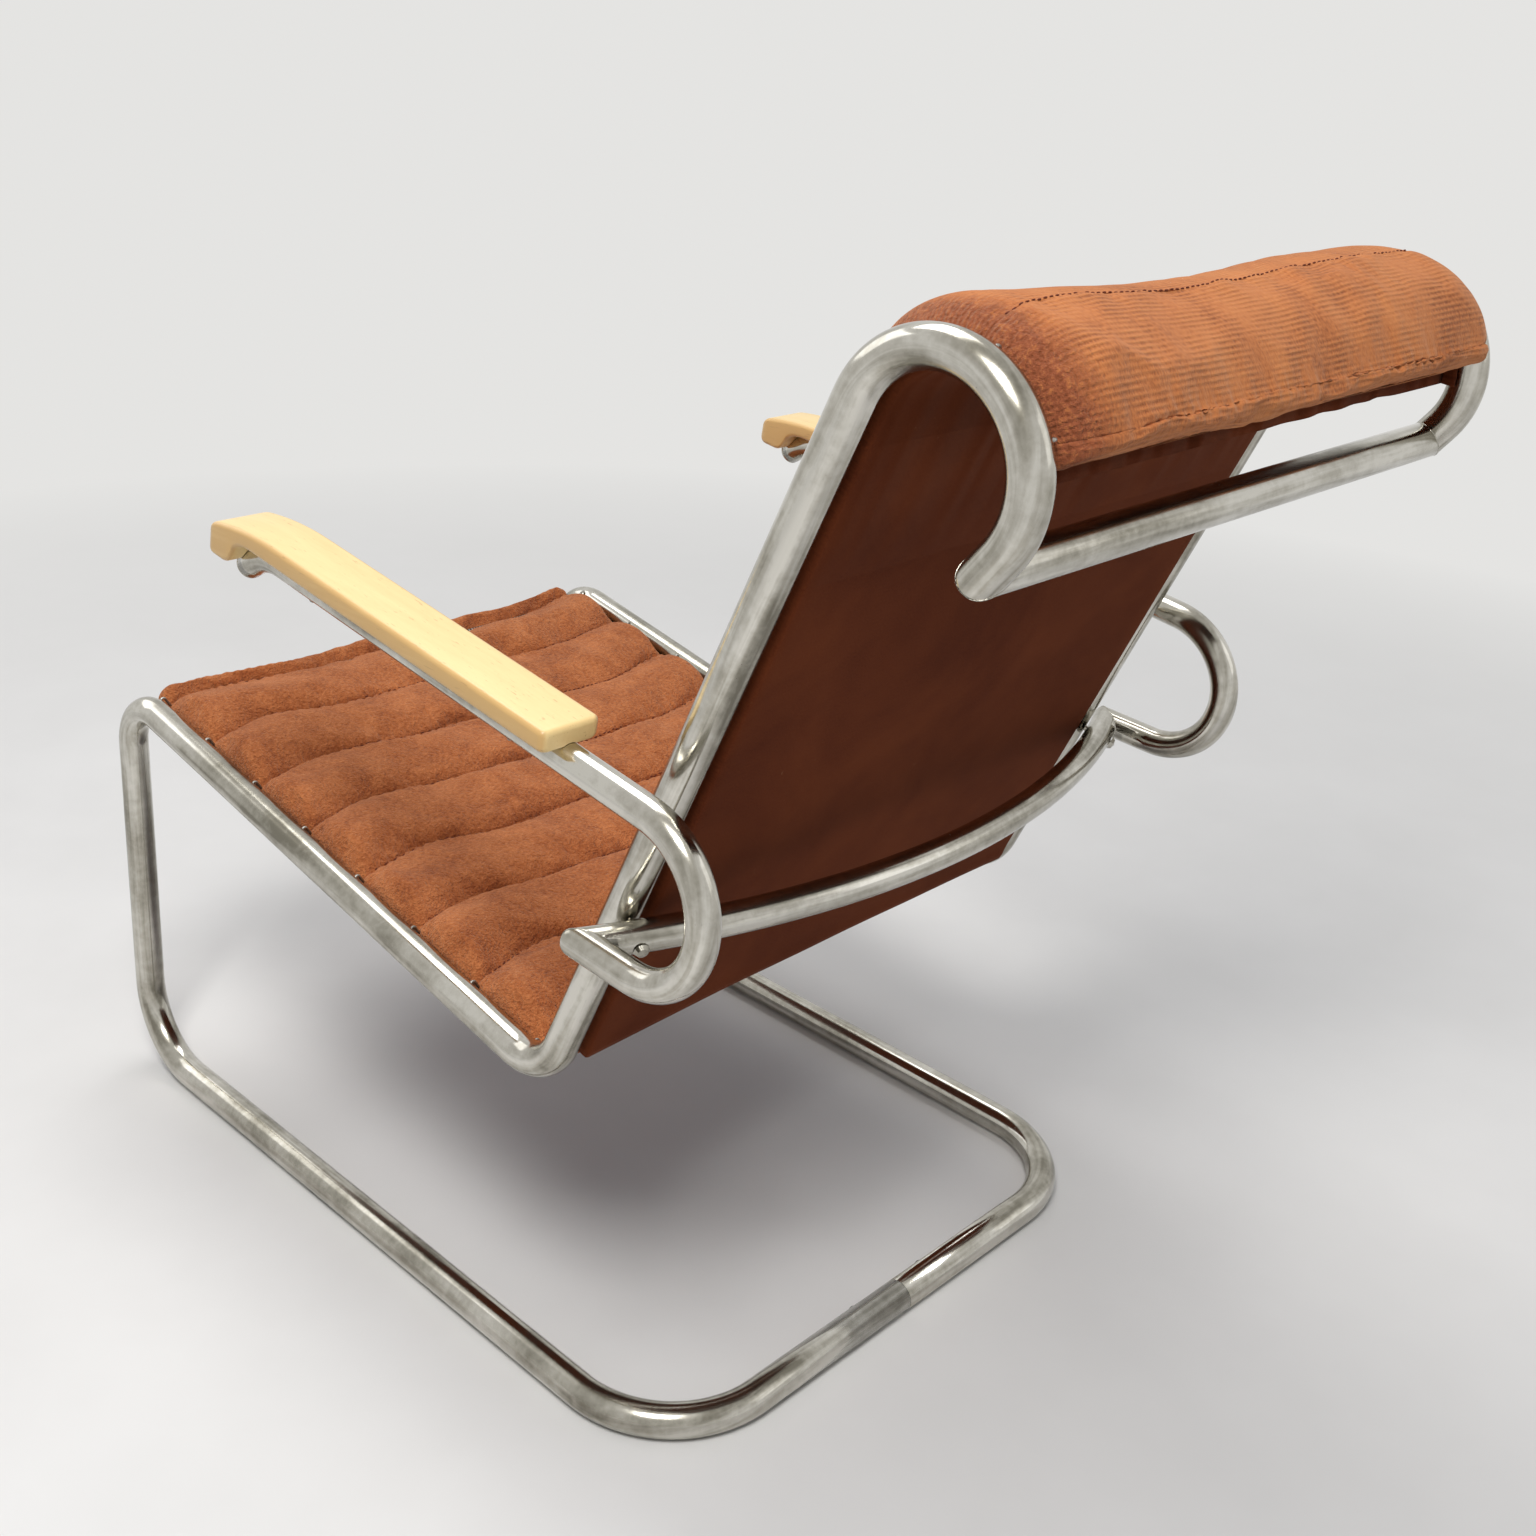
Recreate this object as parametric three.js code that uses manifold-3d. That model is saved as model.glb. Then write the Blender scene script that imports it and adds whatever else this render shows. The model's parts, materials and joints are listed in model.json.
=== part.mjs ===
// Cantilever lounge chair: one line of bent steel tube carries a sprung, padded seat, back and headrest.
// Millimetres, +Z up. X runs across the chair and the sitter faces -Y, so +X is the sitter's left.
// The chair is drawn in its side plane, and the whole is centred over the middle of its outline.
import * as THREE from 'three';
import { mergeVertices } from 'three/addons/utils/BufferGeometryUtils.js';
import Module from 'manifold-3d';

const wasm = await Module();
wasm.setup();

// Frame tube and the running line of its centre
const tubeDiameter = 25;
const tubeWall = 2;
const frameHalfWidth = 250;
const baseFrontY = -454;
const baseRearY = 241.5;
const baseCornerRadius = 90;
const footBendRadius = 70;
const seatFrontY = -463;
const seatFrontHeight = 363.5;
const seatFrontRadius = 40;
const seatRearY = 108.5;
const seatRearHeight = 252;
const seatRearRadius = 46;
const uprightTopY = 345.5;
const uprightTopHeight = 780;
const hookRadius = 60.4;
const hookSweepDegrees = 194;
const hookTail = 15;

// Armrest frame: a lighter tube on each side, joined by a bowed bar behind the uprights
const armTubeDiameter = 22;
const armTubeWall = 2;
const armSpread = 41;
const armSlopeDegrees = 8.2;
const armRearHeight = 514.5;
const armStraight = 390;
const armDroopRadius = 60;
const armDroopDegrees = 38;
const armNoseStraight = 8;
const armLoopRadius = 56.8;
const armLoopSweepDegrees = 175.2;
const armReturn = 45.2;
const armBarRise = 66.5;

// Clearances
const fitGap = 0.3;
const overrun = 36;

// Joint inside the rear floor bar
const sleeveLength = 120;
const sleeveWall = 2;
const sleeveScrewInset = 40;
const sleeveScrewDiameter = 4;
const sleeveScrewHead = 8;
const sleeveScrewHeadHeight = 2.4;
const sleeveScrewLength = 8;

// Screws that hold the bowed bar to the uprights
const barScrewDiameter = 5;
const barScrewHead = 11;
const barScrewHeadHeight = 4;
const barNutDiameter = 9;
const barNutThickness = 4;

// Wood armrests and the screws under them
const armrestWidth = 47;
const armrestTopHeight = 24;
const armrestSideHeight = 9;
const armrestRearInset = 74;
const armrestNoseCover = 21.5;
const armrestEdgeRadius = 5;
const armrestNoseDrop = 12;
const armrestNoseDepth = 26;
const armrestFall = 8;
const armrestFallRun = 88;
const armrestScrewDiameter = 4;
const armrestScrewHead = 8;
const armrestScrewHeadHeight = 2.4;
const armrestScrewBite = 8;
const armrestScrewShares = [0.14, 0.72];

// Domed plugs in the front ends of the arm tubes
const plugSpigot = 7;
const plugDome = 6;

// Springs across the frame, and the upholstery over them
const springDiameter = 9.4;
const springWire = 2.4;
const springHookLength = 16;
const springDepth = 6;
const padGap = 1.5;
const channelPitch = 74;
const seatPadStart = 14;
const seatFirstSeam = 38;
const seatPadRearGap = 6.3;
const backPadStart = 23;
const backFirstSeam = 64;
const backPadTopGap = 4.75;
const padCrest = 21;
const padSeam = 12.5;
const headrestCrest = 36;
const headrestSeam = 28;
const headrestSeamDegrees = 97;
const headrestEndDegrees = -2;
const seamPull = 4;
const clothThickness = 3;
const seatClothStart = 20;
const seatClothRearGap = 26.3;
const backClothStart = 29;
const backClothEndDegrees = -10;
const headrestSpringDegrees = [115, 68, 21];

// Smoothness of the faceted solids
const tubeSides = 12;
const boreSides = 8;
const bendStepDegrees = 15;
const bowSteps = 14;
const turnedSides = 12;

// Finishes
const steel = new THREE.MeshStandardMaterial({ color: 0xb4b0a6, roughness: 0.28, metalness: 1 });
const zinc = new THREE.MeshStandardMaterial({ color: 0x9a9a96, roughness: 0.45, metalness: 1 });
const beech = new THREE.MeshStandardMaterial({ color: 0xe9c585, roughness: 0.5, metalness: 0 });
const terry = new THREE.MeshStandardMaterial({ color: 0x9c4a26, roughness: 0.95, metalness: 0 });
const backcloth = new THREE.MeshStandardMaterial({ color: 0x6e2a14, roughness: 0.95, metalness: 0 });

const radians = THREE.MathUtils.degToRad;
const across = new THREE.Vector3(1, 0, 0);
const group = new THREE.Group();
const chair = new THREE.Group();
group.add(chair);

// A point in the side plane, set at a distance across the chair
function sidePoint(x, y, z) {
  return new THREE.Vector3(x, y, z);
}

// A flat vector in the side plane turned by an angle, positive from the back towards the top
function turned(vector, degrees) {
  return vector.clone().applyAxisAngle(across, radians(degrees));
}

// A route keeps its own stations, so that straight runs take one step and bends take many
class Route extends THREE.Curve {
  constructor(start, direction) {
    super();
    this.stations = [{ point: start.clone(), direction: direction.clone().normalize() }];
  }

  get steps() {
    return this.stations.length - 1;
  }

  get tip() {
    return this.stations[this.steps];
  }

  getPointAt(share) {
    return this.stations[Math.round(share * this.steps)].point.clone();
  }

  getTangentAt(share) {
    return this.stations[Math.round(share * this.steps)].direction.clone();
  }

  straight(length) {
    const { point, direction } = this.tip;
    const end = point.clone().addScaledVector(direction, length);
    this.stations.push({ point: end, direction: direction.clone() });
    return this;
  }

  bend(inward, radius, degrees, count = Math.max(2, Math.ceil(degrees / bendStepDegrees))) {
    const { point, direction } = this.tip;
    for (let step = 1; step <= count; step += 1) {
      const angle = radians(degrees) * step / count;
      const place = point.clone().addScaledVector(direction, radius * Math.sin(angle));
      place.addScaledVector(inward, radius * (1 - Math.cos(angle)));
      const heading = direction.clone().multiplyScalar(Math.cos(angle));
      heading.addScaledVector(inward, Math.sin(angle));
      this.stations.push({ point: place, direction: heading });
    }
    return this;
  }

  // Runs to the corner and round it, so that it leaves towards the next point
  corner(corner, next, radius) {
    const { point, direction } = this.tip;
    const leaving = next.clone().sub(corner).normalize();
    const angle = direction.angleTo(leaving);
    const setback = radius * Math.tan(angle / 2);
    const inward = leaving.clone().addScaledVector(direction, -direction.dot(leaving)).normalize();
    this.straight(point.distanceTo(corner) - setback);
    return this.bend(inward, radius, THREE.MathUtils.radToDeg(angle));
  }
}

// A regular polygon whose flats lie at the given radius, with a flat on each axis
function polygon(target, radius, sides) {
  const reach = radius / Math.cos(Math.PI / sides);
  for (let side = 0; side < sides; side += 1) {
    const angle = 2 * Math.PI * (side + 1 / 2) / sides;
    const x = reach * Math.cos(angle);
    const y = reach * Math.sin(angle);
    if (side === 0) target.moveTo(x, y);
    else target.lineTo(x, y);
  }
  target.closePath();
  return target;
}

function tubeAlong(route, diameter, wall) {
  const shape = polygon(new THREE.Shape(), diameter / 2, tubeSides);
  if (wall > 0) shape.holes.push(polygon(new THREE.Path(), diameter / 2 - wall, boreSides));
  return new THREE.ExtrudeGeometry(shape, { steps: route.steps, extrudePath: route });
}

// Solids for cutting and joining
function solid(geometry) {
  const bare = geometry.clone();
  bare.deleteAttribute('normal');
  bare.deleteAttribute('uv');
  const merged = mergeVertices(bare);
  const vertProperties = Float32Array.from(merged.attributes.position.array);
  const triVerts = Uint32Array.from(merged.index.array);
  return new wasm.Manifold(new wasm.Mesh({ numProp: 3, vertProperties, triVerts }));
}

function surface(manifold) {
  const mesh = manifold.getMesh();
  const geometry = new THREE.BufferGeometry();
  geometry.setAttribute('position', new THREE.BufferAttribute(Float32Array.from(mesh.vertProperties), 3));
  geometry.setIndex(new THREE.BufferAttribute(Uint32Array.from(mesh.triVerts), 1));
  geometry.computeVertexNormals();
  return geometry;
}

// Cuts off the end of a tube that lies past a plane, and leaves the rest of a bent tube alone
function trimmed(manifold, point, normal) {
  return manifold.subtract(solid(rod(3 / 2 * overrun, 2 * overrun, point, normal)));
}

// The plane that halves the corner between two tubes that meet at a point
function mitreNormal(arriving, leaving) {
  return arriving.clone().add(leaving).normalize();
}

// A turned piece: its profile runs along its own axis, which is then laid along a direction
function turnedAlong(profile, start, direction, sides = turnedSides) {
  const points = profile.map(([radius, along]) => new THREE.Vector2(radius, along));
  const geometry = new THREE.LatheGeometry(points, sides);
  const heading = direction.clone().normalize();
  const turn = new THREE.Quaternion().setFromUnitVectors(new THREE.Vector3(0, 1, 0), heading);
  geometry.applyQuaternion(turn);
  geometry.translate(start.x, start.y, start.z);
  return geometry;
}

function rod(radius, length, start, direction) {
  return turnedAlong([[0, 0], [radius, 0], [radius, length], [0, length]], start, direction);
}

// A round-headed screw: its head's seat lies at the start and its shank runs along the direction
function screw(diameter, head, headHeight, length, start, direction) {
  const radius = diameter / 2;
  const brow = head / 2 * Math.cos(radians(45));
  const profile = [[0, -headHeight], [brow, -headHeight * Math.sin(radians(45))], [head / 2, 0],
    [radius, 0], [radius, length], [0, length]];
  return turnedAlong(profile, start, direction);
}

function addPiece(name, geometry, material) {
  const mesh = new THREE.Mesh(geometry, material);
  mesh.name = name;
  chair.add(mesh);
}

// The lines of the seat, the upright and the arm in the side plane
const tubeRadius = tubeDiameter / 2;
const armTubeRadius = armTubeDiameter / 2;
const seatFront = new THREE.Vector3(0, seatFrontY, seatFrontHeight);
const seatRear = new THREE.Vector3(0, seatRearY, seatRearHeight);
const uprightTop = new THREE.Vector3(0, uprightTopY, uprightTopHeight);
const seatLine = seatRear.clone().sub(seatFront).normalize();
const seatNormal = turned(seatLine, 90);
const uprightLine = uprightTop.clone().sub(seatRear).normalize();
const uprightNormal = turned(uprightLine, 90);
const hookCentre = uprightTop.clone().addScaledVector(uprightNormal, -hookRadius);

// A place on the seat or the upright, by its distance along the line and its height over it
function seatPlace(along, height, x = 0) {
  const place = seatFront.clone().addScaledVector(seatLine, along).addScaledVector(seatNormal, height);
  return place.setX(x);
}

function uprightPlace(along, height, x = 0) {
  const place = seatRear.clone().addScaledVector(uprightLine, along).addScaledVector(uprightNormal, height);
  return place.setX(x);
}

// A place round the hook, by its angle over the horizontal towards the rear
function hookPlace(degrees, radius, x = 0) {
  const outward = turned(new THREE.Vector3(0, 1, 0), degrees);
  return hookCentre.clone().addScaledVector(outward, radius).setX(x);
}

const seatLength = seatRear.distanceTo(seatFront);
const uprightLength = uprightTop.distanceTo(seatRear);
const seatPadEnd = seatLength - seatPadRearGap;
const backPadEnd = uprightLength - backPadTopGap;
const hookStartDegrees = THREE.MathUtils.radToDeg(Math.atan2(uprightNormal.z, uprightNormal.y));

// The frame tube of one side, from the middle of the rear floor bar to the end of its hook
function frameRoute(side) {
  const x = side * frameHalfWidth;
  const corners = [
    sidePoint(x, baseRearY, tubeRadius),
    sidePoint(x, baseFrontY, tubeRadius),
    sidePoint(x, seatFrontY, seatFrontHeight),
    sidePoint(x, seatRearY, seatRearHeight),
    sidePoint(x, uprightTopY, uprightTopHeight),
  ];
  const radiiInOrder = [baseCornerRadius, footBendRadius, seatFrontRadius, seatRearRadius];
  const start = sidePoint(side * fitGap / 2, baseRearY, tubeRadius);
  const route = new Route(start, across.clone().multiplyScalar(side));
  radiiInOrder.forEach((radius, index) => route.corner(corners[index], corners[index + 1], radius));
  route.straight(route.tip.point.distanceTo(corners[4]));
  route.bend(uprightNormal.clone().negate(), hookRadius, hookSweepDegrees);
  return route.straight(hookTail);
}

// The corner where the hook meets the top bar
const hookTip = frameRoute(1).tip;
const topBarPlace = hookTip.point.clone().setX(0);

function frameTube(side) {
  const route = frameRoute(side);
  const corner = route.tip.point.clone();
  const arriving = route.tip.direction.clone();
  const leaving = across.clone().multiplyScalar(-side);
  const normal = mitreNormal(arriving, leaving);
  const whole = solid(tubeAlong(route.straight(overrun), tubeDiameter, tubeWall));
  const cutPoint = corner.addScaledVector(normal, -fitGap / 2);
  const drilled = whole.subtract(solid(barScrewHole(side))).subtract(solid(sleeveScrewHole(side)));
  return surface(trimmed(drilled, cutPoint, normal));
}

function topBar() {
  const reach = frameHalfWidth + overrun;
  const route = new Route(topBarPlace.clone().setX(-reach), across).straight(2 * reach);
  let bar = solid(tubeAlong(route, tubeDiameter, tubeWall));
  for (const side of [-1, 1]) {
    const normal = mitreNormal(hookTip.direction, across.clone().multiplyScalar(-side));
    const point = topBarPlace.clone().setX(side * frameHalfWidth).addScaledVector(normal, fitGap / 2);
    bar = trimmed(bar, point, normal.clone().negate());
  }
  return surface(bar);
}

// The sleeve that joins the two halves of the rear floor bar, and its screws
const sleeveRadius = tubeRadius - tubeWall - fitGap;

function sleeveScrewPlace(side) {
  return sidePoint(side * sleeveScrewInset, baseRearY - tubeRadius - fitGap, tubeRadius);
}

function sleeveScrewHole(side) {
  const start = sleeveScrewPlace(side).setY(baseRearY - tubeDiameter);
  return rod(sleeveScrewDiameter / 2 + fitGap, tubeDiameter, start, new THREE.Vector3(0, 1, 0));
}

function baseSleeve() {
  const start = sidePoint(-sleeveLength / 2, baseRearY, tubeRadius);
  const route = new Route(start, across).straight(sleeveLength);
  const flats = sleeveRadius * Math.cos(Math.PI / boreSides);
  const shape = polygon(new THREE.Shape(), flats, boreSides);
  shape.holes.push(polygon(new THREE.Path(), flats - sleeveWall, boreSides));
  let sleeve = solid(new THREE.ExtrudeGeometry(shape, { steps: route.steps, extrudePath: route }));
  for (const side of [-1, 1]) sleeve = sleeve.subtract(solid(sleeveScrewHole(side)));
  return surface(sleeve);
}

function sleeveScrew(side) {
  return screw(sleeveScrewDiameter, sleeveScrewHead, sleeveScrewHeadHeight, sleeveScrewLength,
    sleeveScrewPlace(side), new THREE.Vector3(0, 1, 0));
}

// The arm tube of one side: a drooping front end, a straight under the wood, a loop and a short return
const armHalfWidth = frameHalfWidth + armSpread;
const armLine = turned(new THREE.Vector3(0, 1, 0), -armSlopeDegrees);
const armNormal = turned(armLine, 90);
const armBarRadius = (armHalfWidth * armHalfWidth + armBarRise * armBarRise) / (2 * armBarRise);

// How far behind the uprights' line the bowed bar must pass, and how far its corners lie before that
function barOffset(x) {
  return Math.sqrt(armBarRadius * armBarRadius - x * x) - (armBarRadius - armBarRise);
}

const barSlope = Math.asin(frameHalfWidth / armBarRadius);
const barHeading = new THREE.Vector3(-Math.cos(barSlope), Math.sin(barSlope), 0);
const barNormal = barHeading.clone().cross(uprightLine).normalize();
const barDistance = (tubeRadius + armTubeRadius) / Math.cos(Math.PI / tubeSides) + fitGap;

// The arm's loop ends at this height and distance from the end of the straight
const armLoopRoute = new Route(new THREE.Vector3(0, 0, armRearHeight), armLine);
armLoopRoute.bend(armNormal.clone().negate(), armLoopRadius, armLoopSweepDegrees).straight(armReturn);
const armCornerHeight = armLoopRoute.tip.point.z;
const uprightYAtBar = seatRearY + (armCornerHeight - seatRearHeight) * uprightLine.y / uprightLine.z;
const armCornerY = uprightYAtBar + barDistance / Math.abs(barNormal.y) - barOffset(frameHalfWidth);
const armRearY = armCornerY - armLoopRoute.tip.point.y;

function armPlace(along, height, x = 0) {
  const place = new THREE.Vector3(x, armRearY, armRearHeight);
  return place.addScaledVector(armLine, -along).addScaledVector(armNormal, height);
}

function armRoute(side) {
  const front = new Route(armPlace(armStraight, 0, side * armHalfWidth), armLine.clone().negate());
  front.bend(armNormal.clone().negate(), armDroopRadius, armDroopDegrees).straight(armNoseStraight);
  const tip = front.tip;
  const back = tip.direction.clone().negate();
  const inward = turned(back, -90);
  const route = new Route(tip.point, back).straight(armNoseStraight);
  route.bend(inward, armDroopRadius, armDroopDegrees).straight(armStraight);
  return route.bend(armNormal.clone().negate(), armLoopRadius, armLoopSweepDegrees).straight(armReturn);
}

function armMitre(side) {
  const tip = armRoute(side).tip;
  const slope = Math.asin(armHalfWidth / armBarRadius);
  const leaving = new THREE.Vector3(-side * Math.cos(slope), Math.sin(slope), 0);
  return { point: tip.point.clone(), normal: mitreNormal(tip.direction, leaving) };
}

function armrestScrewAxis(side, share) {
  const along = armrestRearInset + armrestLength * share;
  const start = armPlace(along, -armTubeRadius - fitGap, side * armHalfWidth);
  return { start, direction: armNormal.clone() };
}

function armTube(side) {
  const route = armRoute(side).straight(overrun);
  let tube = solid(tubeAlong(route, armTubeDiameter, armTubeWall));
  const { point, normal } = armMitre(side);
  tube = trimmed(tube, point.addScaledVector(normal, -fitGap / 2), normal);
  for (const share of armrestScrewShares) {
    const { start, direction } = armrestScrewAxis(side, share);
    const hole = rod(armrestScrewDiameter / 2 + fitGap, armTubeDiameter + 2 * overrun,
      start.addScaledVector(direction, -overrun), direction);
    tube = tube.subtract(solid(hole));
  }
  return surface(tube);
}

// The bowed bar behind the uprights, an arc from corner to corner
function armCrossBar() {
  const slope = Math.asin(armHalfWidth / armBarRadius);
  const heading = new THREE.Vector3(-Math.cos(slope), Math.sin(slope), 0);
  const inward = new THREE.Vector3(-Math.sin(slope), -Math.cos(slope), 0);
  const corner = sidePoint(armHalfWidth, armCornerY, armCornerHeight);
  const route = new Route(corner.clone().addScaledVector(heading, -overrun), heading).straight(overrun);
  route.bend(inward, armBarRadius, THREE.MathUtils.radToDeg(2 * slope), bowSteps).straight(overrun);
  let bar = solid(tubeAlong(route, armTubeDiameter, armTubeWall));
  for (const side of [-1, 1]) {
    const { point, normal } = armMitre(side);
    bar = trimmed(bar, point.addScaledVector(normal, fitGap / 2), normal.clone().negate());
    bar = bar.subtract(solid(barScrewHole(side)));
  }
  return surface(bar);
}

// The screw that draws the bowed bar on to the back of an upright, with its nut in the tube
const barMeetX = frameHalfWidth + barNormal.x * barDistance;
const barNutSeat = Math.sqrt((tubeRadius - tubeWall) ** 2 - (barNutDiameter / 2) ** 2) - fitGap;

function barScrewAxis(side) {
  const outward = new THREE.Vector3(side * barNormal.x, barNormal.y, barNormal.z);
  const centre = sidePoint(side * barMeetX, armCornerY + barOffset(barMeetX), armCornerHeight);
  const start = centre.addScaledVector(outward, armTubeRadius + fitGap);
  return { start, direction: outward.clone().negate() };
}

const barNutDepth = armTubeRadius + fitGap + barDistance - barNutSeat;

function barScrewHole(side) {
  const { start, direction } = barScrewAxis(side);
  start.addScaledVector(direction, -overrun);
  return rod(barScrewDiameter / 2 + fitGap, barNutDepth + overrun, start, direction);
}

function barScrew(side) {
  const { start, direction } = barScrewAxis(side);
  const length = barNutDepth + barNutThickness;
  return screw(barScrewDiameter, barScrewHead, barScrewHeadHeight, length, start, direction);
}

function barNut(side) {
  const { start, direction } = barScrewAxis(side);
  const bore = barScrewDiameter / 2 + fitGap;
  const outer = barNutDiameter / 2;
  const profile = [[bore, 0], [outer, 0], [outer, barNutThickness], [bore, barNutThickness], [bore, 0]];
  return turnedAlong(profile, start.addScaledVector(direction, barNutDepth), direction);
}

// The domed plug in the front end of an arm tube
function armPlug(side) {
  const front = armRoute(side).stations[0];
  const inwards = front.direction.clone();
  const spigot = (armTubeRadius - armTubeWall) * Math.cos(Math.PI / boreSides) - fitGap;
  const profile = [[0, -plugDome]];
  for (const degrees of [65, 40, 15]) {
    const angle = radians(degrees);
    profile.push([armTubeRadius * Math.cos(angle), -plugDome * Math.sin(angle)]);
  }
  profile.push([armTubeRadius, 0], [spigot, 0], [spigot, plugSpigot], [0, plugSpigot]);
  return turnedAlong(profile, front.point.clone().addScaledVector(inwards, -fitGap), inwards, tubeSides);
}

const armFront = armStraight + armDroopRadius * Math.sin(radians(armDroopDegrees))
  + (armNoseStraight + plugDome) * Math.cos(radians(armDroopDegrees));
const armrestLength = armFront + armrestNoseCover - armrestRearInset;

// The wood armrest: a bevelled board that falls to a nose in front of the tube, and is grooved over the tube
function armrestOutline() {
  const top = armrestTopHeight - armrestEdgeRadius;
  const low = armrestSideHeight + armrestEdgeRadius;
  const front = armrestLength - 2 * armrestEdgeRadius;
  const lip = front - armrestNoseDepth;
  const drop = -armrestNoseDrop + armrestEdgeRadius;
  const noseTop = top - armrestFall;
  const noseRound = (noseTop - drop) / 2;
  const noseStart = front - noseRound * 3 / 2;
  const fallStart = front - armrestFallRun;
  const fallMiddle = (fallStart + noseStart) / 2;
  const fallSlope = armrestFall / (noseStart - fallMiddle);
  const shape = new THREE.Shape();
  shape.moveTo(0, low);
  shape.lineTo(lip - armrestNoseDepth, low);
  shape.quadraticCurveTo(lip, low, lip + armrestEdgeRadius, low - armrestEdgeRadius);
  shape.quadraticCurveTo(lip + armrestNoseDepth / 3, drop, front - armrestNoseDepth / 3, drop);
  shape.quadraticCurveTo(front, drop, front, drop + noseRound);
  shape.quadraticCurveTo(front, noseTop - fallSlope * (front - noseStart), noseStart, noseTop);
  shape.quadraticCurveTo(fallMiddle, top, fallStart, top);
  shape.lineTo(0, top);
  shape.closePath();
  return shape;
}

function armrest(side) {
  const width = armrestWidth - 2 * armrestEdgeRadius;
  const board = new THREE.ExtrudeGeometry(armrestOutline(), {
    depth: width, curveSegments: 4, bevelThickness: armrestEdgeRadius, bevelSize: armrestEdgeRadius,
    bevelSegments: 3,
  });
  const basis = new THREE.Matrix4().makeBasis(armLine.clone().negate(), armNormal, across.clone().negate());
  const rear = armPlace(armrestRearInset + armrestEdgeRadius, 0, side * armHalfWidth + width / 2);
  board.applyMatrix4(basis.setPosition(rear));
  const groove = tubeAlong(armRoute(side), armTubeDiameter + 2 * fitGap, 0);
  const front = armRoute(side).stations[0];
  const nose = rod(armTubeRadius + 2 * fitGap, plugDome + 4 * fitGap,
    front.point.clone().addScaledVector(front.direction, fitGap), front.direction.clone().negate());
  let wood = solid(board).subtract(solid(groove)).subtract(solid(nose));
  for (const share of armrestScrewShares) {
    const { start, direction } = armrestScrewAxis(side, share);
    const depth = armTubeDiameter + armrestScrewBite + 4 * fitGap;
    wood = wood.subtract(solid(rod(armrestScrewDiameter / 2 + fitGap, depth, start, direction)));
  }
  return surface(wood);
}

function armrestScrew(side, share) {
  const { start, direction } = armrestScrewAxis(side, share);
  const length = armTubeDiameter + armrestScrewBite;
  return screw(armrestScrewDiameter, armrestScrewHead, armrestScrewHeadHeight, length, start, direction);
}

// A spring across the frame: a close coil with a straight wire hook at each end
function crossSpring(place) {
  const reach = frameHalfWidth - tubeRadius - fitGap;
  const coil = reach - springHookLength;
  const wire = springWire / 2;
  const body = springDiameter / 2;
  const profile = [[0, -reach], [wire, -reach], [wire, -coil], [body, -coil + body], [body, coil - body],
    [wire, coil], [wire, reach], [0, reach]];
  return turnedAlong(profile, place, across, boreSides);
}

// Half of a pad's cross-section: shares of its half width, and of its thickness there
const padWidthShares = [0, 0.3, 0.58, 0.8, 0.92, 0.98, 1];
const padHeightShares = [1.04, 1.03, 1, 0.96, 0.86, 0.68, 0.36];
const headrestHeightShares = [0.78, 0.8, 0.88, 1, 0.97, 0.8, 0.42];
const padBaseShares = [0.97, 0.5, 0];

// One closed ring of a pad, in places given by a function of height and distance across
function padRing(place, halfWidth, base, thickness, heightShares) {
  const ring = [];
  const last = padWidthShares.length - 1;
  for (let index = last; index > 0; index -= 1) {
    ring.push(place(base + thickness * heightShares[index], -halfWidth * padWidthShares[index]));
  }
  padWidthShares.forEach((share, index) => {
    ring.push(place(base + thickness * heightShares[index], halfWidth * share));
  });
  for (const share of padBaseShares) ring.push(place(base, halfWidth * share));
  for (const share of padBaseShares.slice(0, -1).reverse()) ring.push(place(base, -halfWidth * share));
  return ring;
}

// A closed skin over a row of rings, with a flat fan at each end
function loft(rings) {
  const count = rings[0].length;
  const positions = rings.flat().flatMap((point) => point.toArray());
  const faces = [];
  for (let row = 0; row < rings.length - 1; row += 1) {
    for (let column = 0; column < count; column += 1) {
      const next = (column + 1) % count;
      const a = row * count + column;
      const b = row * count + next;
      faces.push(a, b, a + count, b, b + count, a + count);
    }
  }
  const end = (rings.length - 1) * count;
  for (let column = 1; column < count - 1; column += 1) {
    faces.push(0, column + 1, column);
    faces.push(end, end + column, end + column + 1);
  }
  const geometry = new THREE.BufferGeometry();
  geometry.setAttribute('position', new THREE.Float32BufferAttribute(positions, 3));
  geometry.setIndex(faces);
  geometry.computeVertexNormals();
  return geometry;
}

// Where each ring of a channelled pad lies, and how thick the pad is there: low at a seam, full between
const channelShares = [0.1, 0.28, 0.5, 0.72, 0.9, 1];
const rollShares = [0.05, 0.13, 0.24, 0.37, 0.5, 0.63, 0.76, 0.87, 0.95, 1];
const endShare = 0.35;

function evenSeams(start, firstSeam, end) {
  const seams = [start];
  for (let seamAt = firstSeam; seamAt < end - channelPitch / 4; seamAt += channelPitch) seams.push(seamAt);
  return [...seams, end];
}

function padStations(seams, seam, crest, shares) {
  const stations = [{ along: seams[0], thickness: crest * endShare, pull: 1 }];
  for (let index = 0; index < seams.length - 1; index += 1) {
    const span = seams[index + 1] - seams[index];
    for (const share of shares) {
      const bulge = Math.sqrt(Math.max(0, Math.sin(Math.PI * share)));
      const isEnd = index === seams.length - 2 && share === 1;
      const thickness = isEnd ? crest * endShare : seam + (crest - seam) * bulge;
      stations.push({ along: seams[index] + span * share, thickness, pull: 1 - bulge });
    }
  }
  return stations;
}

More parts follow.
